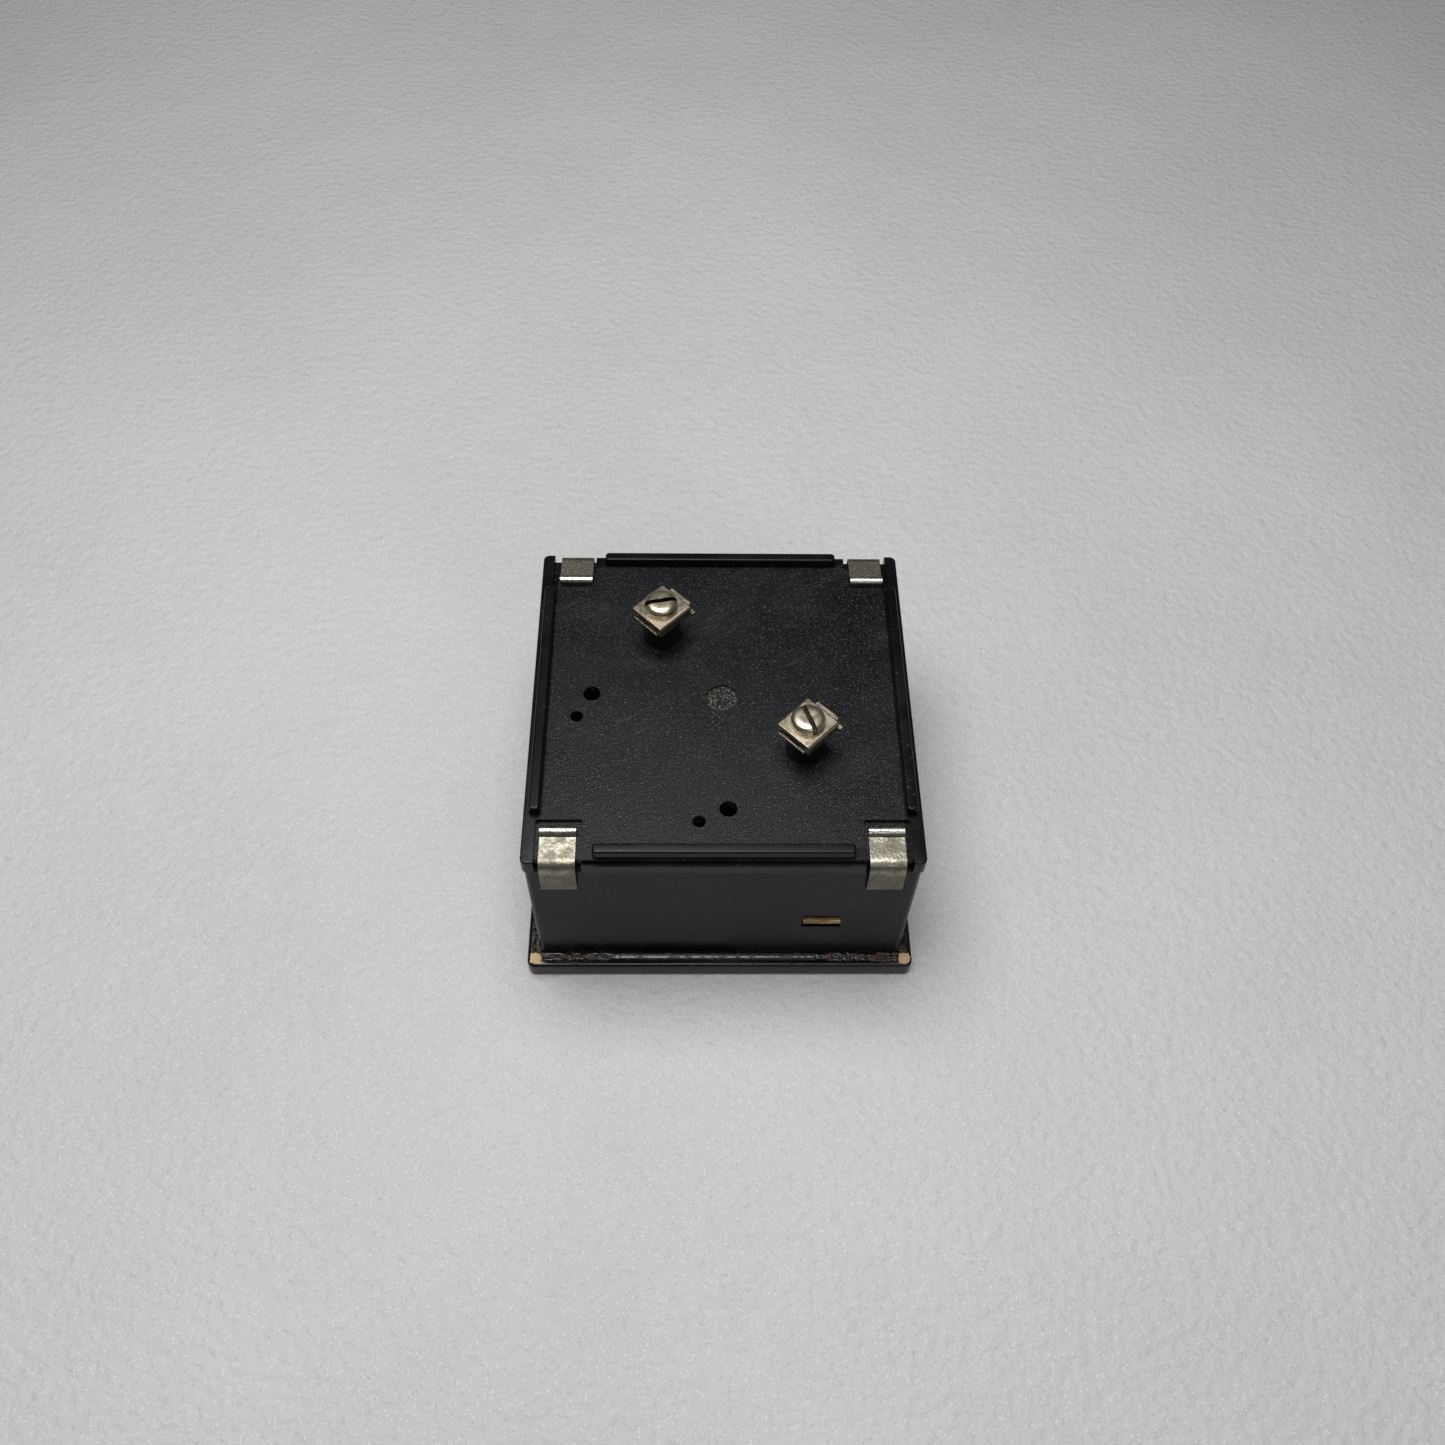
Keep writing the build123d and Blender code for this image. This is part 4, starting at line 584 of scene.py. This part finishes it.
bright_brass, tree, shader, place = surface("turned_brass", Metallic=1.0)
turning = use(tree, grain, place, Cells=900.0)
patina = use(tree, clouds, place, Size=380.0, From=0.4, To=0.7)
feed(tree, shader, Base_Color=mix(tree, patina["Mask"], (0.66, 0.47, 0.19, 1), (0.50, 0.34, 0.13, 1)),
     Roughness=spread(tree, patina["Mask"], 0, 1, 0.26, 0.42))
bump(tree, shader, turning["Height"], 0.00002)

THREAD_PITCH, CREST, ROOT = 0.7 * MM, 1.98 * MM, 1.6 * MM


def binding_screw(key):
    """Head cut from the CAD screw, on a shank whose radius is a triangle wave of height along a helix."""
    node = f"clamp_screw_{key}"
    low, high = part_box(node)
    centre = [(a + b) / 2 for a, b in zip(low, high)]
    head_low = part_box(f"clamp_plate_{key}")[1][2] + 0.02 * MM
    mesh = NODES[node].data.copy()
    work = bmesh.new()
    work.from_mesh(mesh)
    bmesh.ops.remove_doubles(work, verts=work.verts, dist=1e-6)
    cut = bmesh.ops.bisect_plane(work, geom=work.verts[:] + work.edges[:] + work.faces[:], clear_inner=True,
                                 plane_co=(0, 0, head_low + 0.001 * MM), plane_no=(0, 0, 1))
    bmesh.ops.holes_fill(work, edges=[part for part in cut["geom_cut"] if isinstance(part, bmesh.types.BMEdge)])
    bmesh.ops.dissolve_limit(work, angle_limit=radians(0.02), verts=work.verts, edges=work.edges)
    bmesh.ops.recalc_face_normals(work, faces=work.faces)
    for face in work.faces:
        face.smooth = True
    for edge in work.edges:
        edge.smooth = edge.calc_face_angle(0) < radians(32)
    rounds = 36
    up = np.linspace(low[2], head_low + 0.05 * MM, 16 * round((head_low - low[2]) / THREAD_PITCH))[:, None]
    angle = np.linspace(0, 2 * pi, rounds, endpoint=False)[None, :]
    phase = (up / THREAD_PITCH - angle / (2 * pi)) % 1
    radius = ROOT + (CREST - ROOT) * (1 - np.abs(2 * phase - 1))
    taper = np.clip((up - low[2]) / (0.6 * MM), 0, 1)
    radius = ROOT * 0.9 + (radius - ROOT * 0.9) * taper
    points = np.stack([centre[0] + radius * np.cos(angle), centre[1] + radius * np.sin(angle),
                       up + 0 * radius], -1)
    shank = grid_mesh("shank", points, closed_v=True)
    shape = bmesh.new()
    shape.from_mesh(shank)
    bmesh.ops.holes_fill(shape, edges=[edge for edge in shape.edges if edge.is_boundary])
    bmesh.ops.recalc_face_normals(shape, faces=shape.faces)
    shape.to_mesh(shank)
    shape.free()
    work.from_mesh(shank)
    work.to_mesh(mesh)
    work.free()
    return finish_piece(f"binding_screw_{key}", mesh, BODY[node], "nickel_terminal", plating, node)


for key in "ab":
    binding_screw(key)
    softened(f"clamp_plate_{key}", f"saddle_clamp_{key}", "nickel_terminal", plating, 0.12)
    softened(f"terminal_plate_{key}", f"base_plate_{key}", "nickel_terminal", plating, 0.10)
    softened(f"terminal_collar_{key}", f"post_collar_{key}", "black_insulator", insulator, 0.25)
    dress("brass", bright_brass, f"terminal_post_{key}", f"terminal_washer_{key}", f"terminal_nut_{key}")

# ---- Dial: aluminium plate sprayed satin white, printed in black with a quarter-circle scale, on brass
# pillars with brass cheese-head screws. Two brass pins stop the pointer just past the scale's ends.
enamel, tree, shader, place = surface("dial_enamel", IOR=1.5)
age = use(tree, clouds, place, Size=35.0, From=0.35, To=0.75)
dust = use(tree, specks, place, Cells=420.0, Reach=0.06, Amount=0.2)
orange = use(tree, grain, place, Cells=1400.0)
base = mix(tree, age["Mask"], (0.80, 0.79, 0.74, 1), (0.76, 0.74, 0.67, 1))
feed(tree, shader, Base_Color=dab(tree, base, dust["Mask"], 0.4, (0.3, 0.28, 0.25, 1)),
     Roughness=spread(tree, age["Mask"], 0, 1, 0.42, 0.52))
bump(tree, shader, orange["Height"], 0.00001)
dress("dial_white", enamel, "dial_plate")
dress("brass", bright_brass, "dial_pillars", "dial_screws", "pointer_stops")

ink, tree, shader, place = surface("scale_ink", IOR=1.5)
screened = use(tree, clouds, place, Size=1500.0, From=0.4, To=0.7)
feed(tree, shader, Base_Color=mix(tree, screened["Mask"], (0.008, 0.008, 0.008, 1), (0.02, 0.02, 0.02, 1)),
     Roughness=spread(tree, screened["Mask"], 0, 1, 0.5, 0.6))
bump(tree, shader, screened["Mask"], 0.00001)

DIAL_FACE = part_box("dial_plate")[0][2]
INK_THICK = 0.03 * MM
SWEEP = 90.0
PIVOT = next(joint["pos_m"] for joint in frame["joints"] if joint["name"] == "pointer_swing")
ARC, ARC_WIDE = 51.0 * MM, 0.35 * MM
TICKS = {10: (5.2 * MM, 0.55 * MM), 5: (3.8 * MM, 0.32 * MM), 1: (2.6 * MM, 0.2 * MM)}


def scale_angle(value):
    """Angle of a scale value, from straight left at 0 round to straight up at 50, seen from the front."""
    return pi + radians(SWEEP) * value / 50


def printed(name, corners):
    """Ink: each outline of corners on the dial is a thin block that stands off its face."""
    mesh = bpy.data.meshes.new(name)
    count = np.cumsum([0] + [len(outline) for outline in corners])
    flat = [(x, y, DIAL_FACE - INK_THICK) for outline in corners for x, y in outline]
    faces = [list(range(count[i], count[i + 1])) for i in range(len(corners))]
    mesh.from_pydata(flat, [], faces)
    shape = bmesh.new()
    shape.from_mesh(mesh)
    bmesh.ops.remove_doubles(shape, verts=shape.verts, dist=0.0005 * MM)
    for face in shape.faces:
        face.normal_update()
        if face.normal.z > 0:
            face.normal_flip()
    shape.to_mesh(mesh)
    shape.free()
    piece = finish_piece(name, mesh, "housing", "dial_white", ink)
    thick = piece.modifiers.new("ink_thickness", "SOLIDIFY")
    thick.thickness = INK_THICK
    thick.offset = -1
    return piece


def polar(radius, angle):
    """Point on the dial at a radius and an angle from the pivot."""
    return (PIVOT[0] + radius * cos(angle), PIVOT[1] + radius * sin(angle))


bend = [scale_angle(value) for value in np.linspace(0, 50, 91)]
arc = [polar(ARC, angle) for angle in bend] + [polar(ARC + ARC_WIDE, angle) for angle in reversed(bend)]
ticks = []
for value in range(0, 51):
    length, wide = TICKS[10 if value % 10 == 0 else 5 if value % 5 == 0 else 1]
    angle = scale_angle(value)
    spin = wide / 2 / ARC
    ticks.append([polar(ARC, angle - spin), polar(ARC + length, angle - spin),
                  polar(ARC + length, angle + spin),
                  polar(ARC, angle + spin)])
quads = [[arc[i], arc[i + 1], arc[-2 - i], arc[-1 - i]] for i in range(len(bend) - 1)]
printed("scale_line", quads)
printed("scale_ticks", ticks)


def numeral(name, text, centre, height):
    """Printed figures: built-in type made a mesh, then turned to read from the front and set on the dial."""
    curve = bpy.data.curves.new(name, "FONT")
    curve.body = text
    curve.size = height
    curve.align_x, curve.align_y = "CENTER", "CENTER"
    curve.extrude = INK_THICK / 2
    source = bpy.data.objects.new(name + "_type", curve)
    bpy.context.scene.collection.objects.link(source)
    mesh = bpy.data.meshes.new_from_object(source.evaluated_get(bpy.context.evaluated_depsgraph_get()))
    bpy.data.objects.remove(source)
    mesh.name = name
    place = Matrix.Translation((centre[0], centre[1], DIAL_FACE - INK_THICK / 2)) @ Matrix.Rotation(pi, 4, "X")
    mesh.transform(place)
    return finish_piece(name, mesh, "housing", "dial_white", ink)


for value in range(0, 51, 10):
    numeral(f"figure_{value}", str(value), polar(ARC - 4.6 * MM, scale_angle(value) + 0.0), 5.6 * MM)
numeral("unit_letter", "V", polar(33 * MM, scale_angle(25)), 7.5 * MM)

# ---- Corner mask and zero adjuster: black mouldings that hide the movement's corner; the slotted adjuster
# turns in them and through the window, and its pin turns the brass zero lever.
mask_skin, tree, shader, place = surface("satin_black_moulding", IOR=1.5)
skin = use(tree, grain, place, Cells=2400.0)
haze = use(tree, clouds, place, Size=90.0, From=0.4, To=0.7)
feed(tree, shader, Base_Color=mix(tree, haze["Mask"], (0.006, 0.006, 0.0065, 1), (0.012, 0.012, 0.0125, 1)),
     Roughness=spread(tree, haze["Mask"], 0, 1, 0.36, 0.5))
bump(tree, shader, skin["Height"], 0.00005)
softened("corner_mask", "mask_moulding", "mask_black", mask_skin, 0.15)
softened("zero_adjuster", "adjuster_moulding", "mask_black", mask_skin, 0.10)
dress("brass", bright_brass, "zero_lever")
dress("spring_bronze", bright_brass, "lever_washer")

# ---- Movement: zinc-plated iron ring round an alnico core, aluminium plate and bridges, steel screws,
# bronze hairsprings, and a copper coil on an aluminium former that carries the pointer.
sheet_metal, tree, shader, place = surface("rolled_aluminium", Metallic=1.0)
rolling = use(tree, hairlines, place, Angle=0.0, Long=40.0, Fine=2200.0)
haze = use(tree, clouds, place, Size=90.0, From=0.4, To=0.7)
feed(tree, shader, Base_Color=mix(tree, haze["Mask"], (0.72, 0.73, 0.74, 1), (0.62, 0.63, 0.64, 1)),
     Roughness=spread(tree, haze["Mask"], 0, 1, 0.34, 0.46))
bump(tree, shader, rolling["Mask"], 0.00001)
dress("aluminium", sheet_metal, "movement_plate", "core_supports", "front_bridge", "rear_bridge", "coil_former")

zinc, tree, shader, place = surface("zinc_plate", Metallic=1.0)
spangle = use(tree, clouds, place, Size=700.0, From=0.35, To=0.65)
feed(tree, shader, Base_Color=mix(tree, spangle["Mask"], (0.50, 0.51, 0.52, 1), (0.60, 0.60, 0.60, 1)),
     Roughness=spread(tree, spangle["Mask"], 0, 1, 0.3, 0.42))
bump(tree, shader, spangle["Mask"], 0.00001)
dress("steel", zinc, "movement_screws", "yoke_screws", "front_bridge_screws", "rear_bridge_screws",
      "front_spindle", "rear_spindle")
dress("soft_iron", zinc, "yoke_ring")

ground_iron, tree, shader, place = surface("ground_magnet", Metallic=1.0)
ground = use(tree, grain, place, Cells=2200.0)
haze = use(tree, clouds, place, Size=200.0, From=0.4, To=0.7)
feed(tree, shader, Base_Color=mix(tree, haze["Mask"], (0.20, 0.20, 0.21, 1), (0.28, 0.28, 0.28, 1)),
     Roughness=spread(tree, haze["Mask"], 0, 1, 0.4, 0.55))
bump(tree, shader, ground["Height"], 0.00003)
dress("magnet", ground_iron, "core_magnet")

bronze, tree, shader, place = surface("spring_bronze", Metallic=1.0)
drawn = use(tree, clouds, place, Size=1500.0, From=0.4, To=0.7)
feed(tree, shader, Base_Color=mix(tree, drawn["Mask"], (0.68, 0.42, 0.18, 1), (0.55, 0.33, 0.14, 1)),
     Roughness=spread(tree, drawn["Mask"], 0, 1, 0.25, 0.38))
bump(tree, shader, drawn["Mask"], 0.000005)
dress("spring_bronze", bronze, "front_hairspring", "rear_hairspring")
dress("brass", bright_brass, "front_jewel_screw", "rear_jewel_screw", "rear_spring_stud", "balance_weights")

winding, tree, shader, place = surface("copper_winding", Metallic=1.0)
# Painted shade: the wave bands darken the grooves between the wire's turns.
turns = put(tree, "TexWave", {"Vector": place, "Scale": 900.0, "Distortion": 0.4, "Detail": 1.0},
            bands_direction="Y")
feed(tree, shader, Base_Color=mix(tree, turns.outputs[1], (0.30, 0.08, 0.03, 1), (0.62, 0.22, 0.09, 1)),
     Roughness=spread(tree, turns.outputs[1], 0, 1, 0.5, 0.28))
bump(tree, shader, turns.outputs[1], 0.00005)
dress("copper_winding", winding, "coil_winding")

blade, tree, shader, place = surface("pointer_paint", IOR=1.5)
soot = use(tree, clouds, place, Size=600.0, From=0.4, To=0.7)
feed(tree, shader, Base_Color=mix(tree, soot["Mask"], (0.006, 0.006, 0.006, 1), (0.014, 0.014, 0.014, 1)),
     Roughness=spread(tree, soot["Mask"], 0, 1, 0.55, 0.7))
bump(tree, shader, soot["Mask"], 0.00001)
dress("pointer_black", blade, "pointer")

# ---- Series resistor and leads: wire wound on a phenolic bobbin, red insulated hook-up wire, tinned lugs.
phenolic, tree, shader, place = surface("brown_phenolic", IOR=1.55)
fill = use(tree, clouds, place, Size=700.0, From=0.4, To=0.65)
feed(tree, shader, Base_Color=mix(tree, fill["Mask"], (0.10, 0.045, 0.02, 1), (0.15, 0.07, 0.03, 1)),
     Roughness=spread(tree, fill["Mask"], 0, 1, 0.35, 0.5))
bump(tree, shader, fill["Mask"], 0.00002)
dress("resistor_body", phenolic, "resistor_bobbin")

coil, tree, shader, place = surface("resistance_winding", Metallic=1.0)
# Painted shade: the wave bands darken the grooves between the wire's turns.
turns = put(tree, "TexWave", {"Vector": place, "Scale": 800.0, "Distortion": 0.3, "Detail": 1.0},
            bands_direction="Z")
feed(tree, shader, Base_Color=mix(tree, turns.outputs[1], (0.22, 0.07, 0.03, 1), (0.50, 0.20, 0.08, 1)),
     Roughness=spread(tree, turns.outputs[1], 0, 1, 0.5, 0.3))
bump(tree, shader, turns.outputs[1], 0.00006)
dress("copper_winding", coil, "resistor_winding")

sleeve, tree, shader, place = surface("red_insulation", IOR=1.5)
soft = use(tree, clouds, place, Size=500.0, From=0.4, To=0.7)
feed(tree, shader, Base_Color=mix(tree, soft["Mask"], (0.34, 0.02, 0.015, 1), (0.27, 0.016, 0.012, 1)),
     Roughness=spread(tree, soft["Mask"], 0, 1, 0.36, 0.48))
bump(tree, shader, soft["Mask"], 0.00002)
dress("wire", sleeve, "lead_wires")

tin, tree, shader, place = surface("tinned_brass", Metallic=1.0)
flow = use(tree, clouds, place, Size=600.0, From=0.35, To=0.65)
feed(tree, shader, Base_Color=mix(tree, flow["Mask"], (0.60, 0.59, 0.55, 1), (0.72, 0.71, 0.68, 1)),
     Roughness=spread(tree, flow["Mask"], 0, 1, 0.25, 0.4))
bump(tree, shader, flow["Mask"], 0.00003)
dress("tinned_brass", tin, "solder_lug_a", "solder_lug_b")

bpy.context.scene.view_settings.view_transform = "Standard"
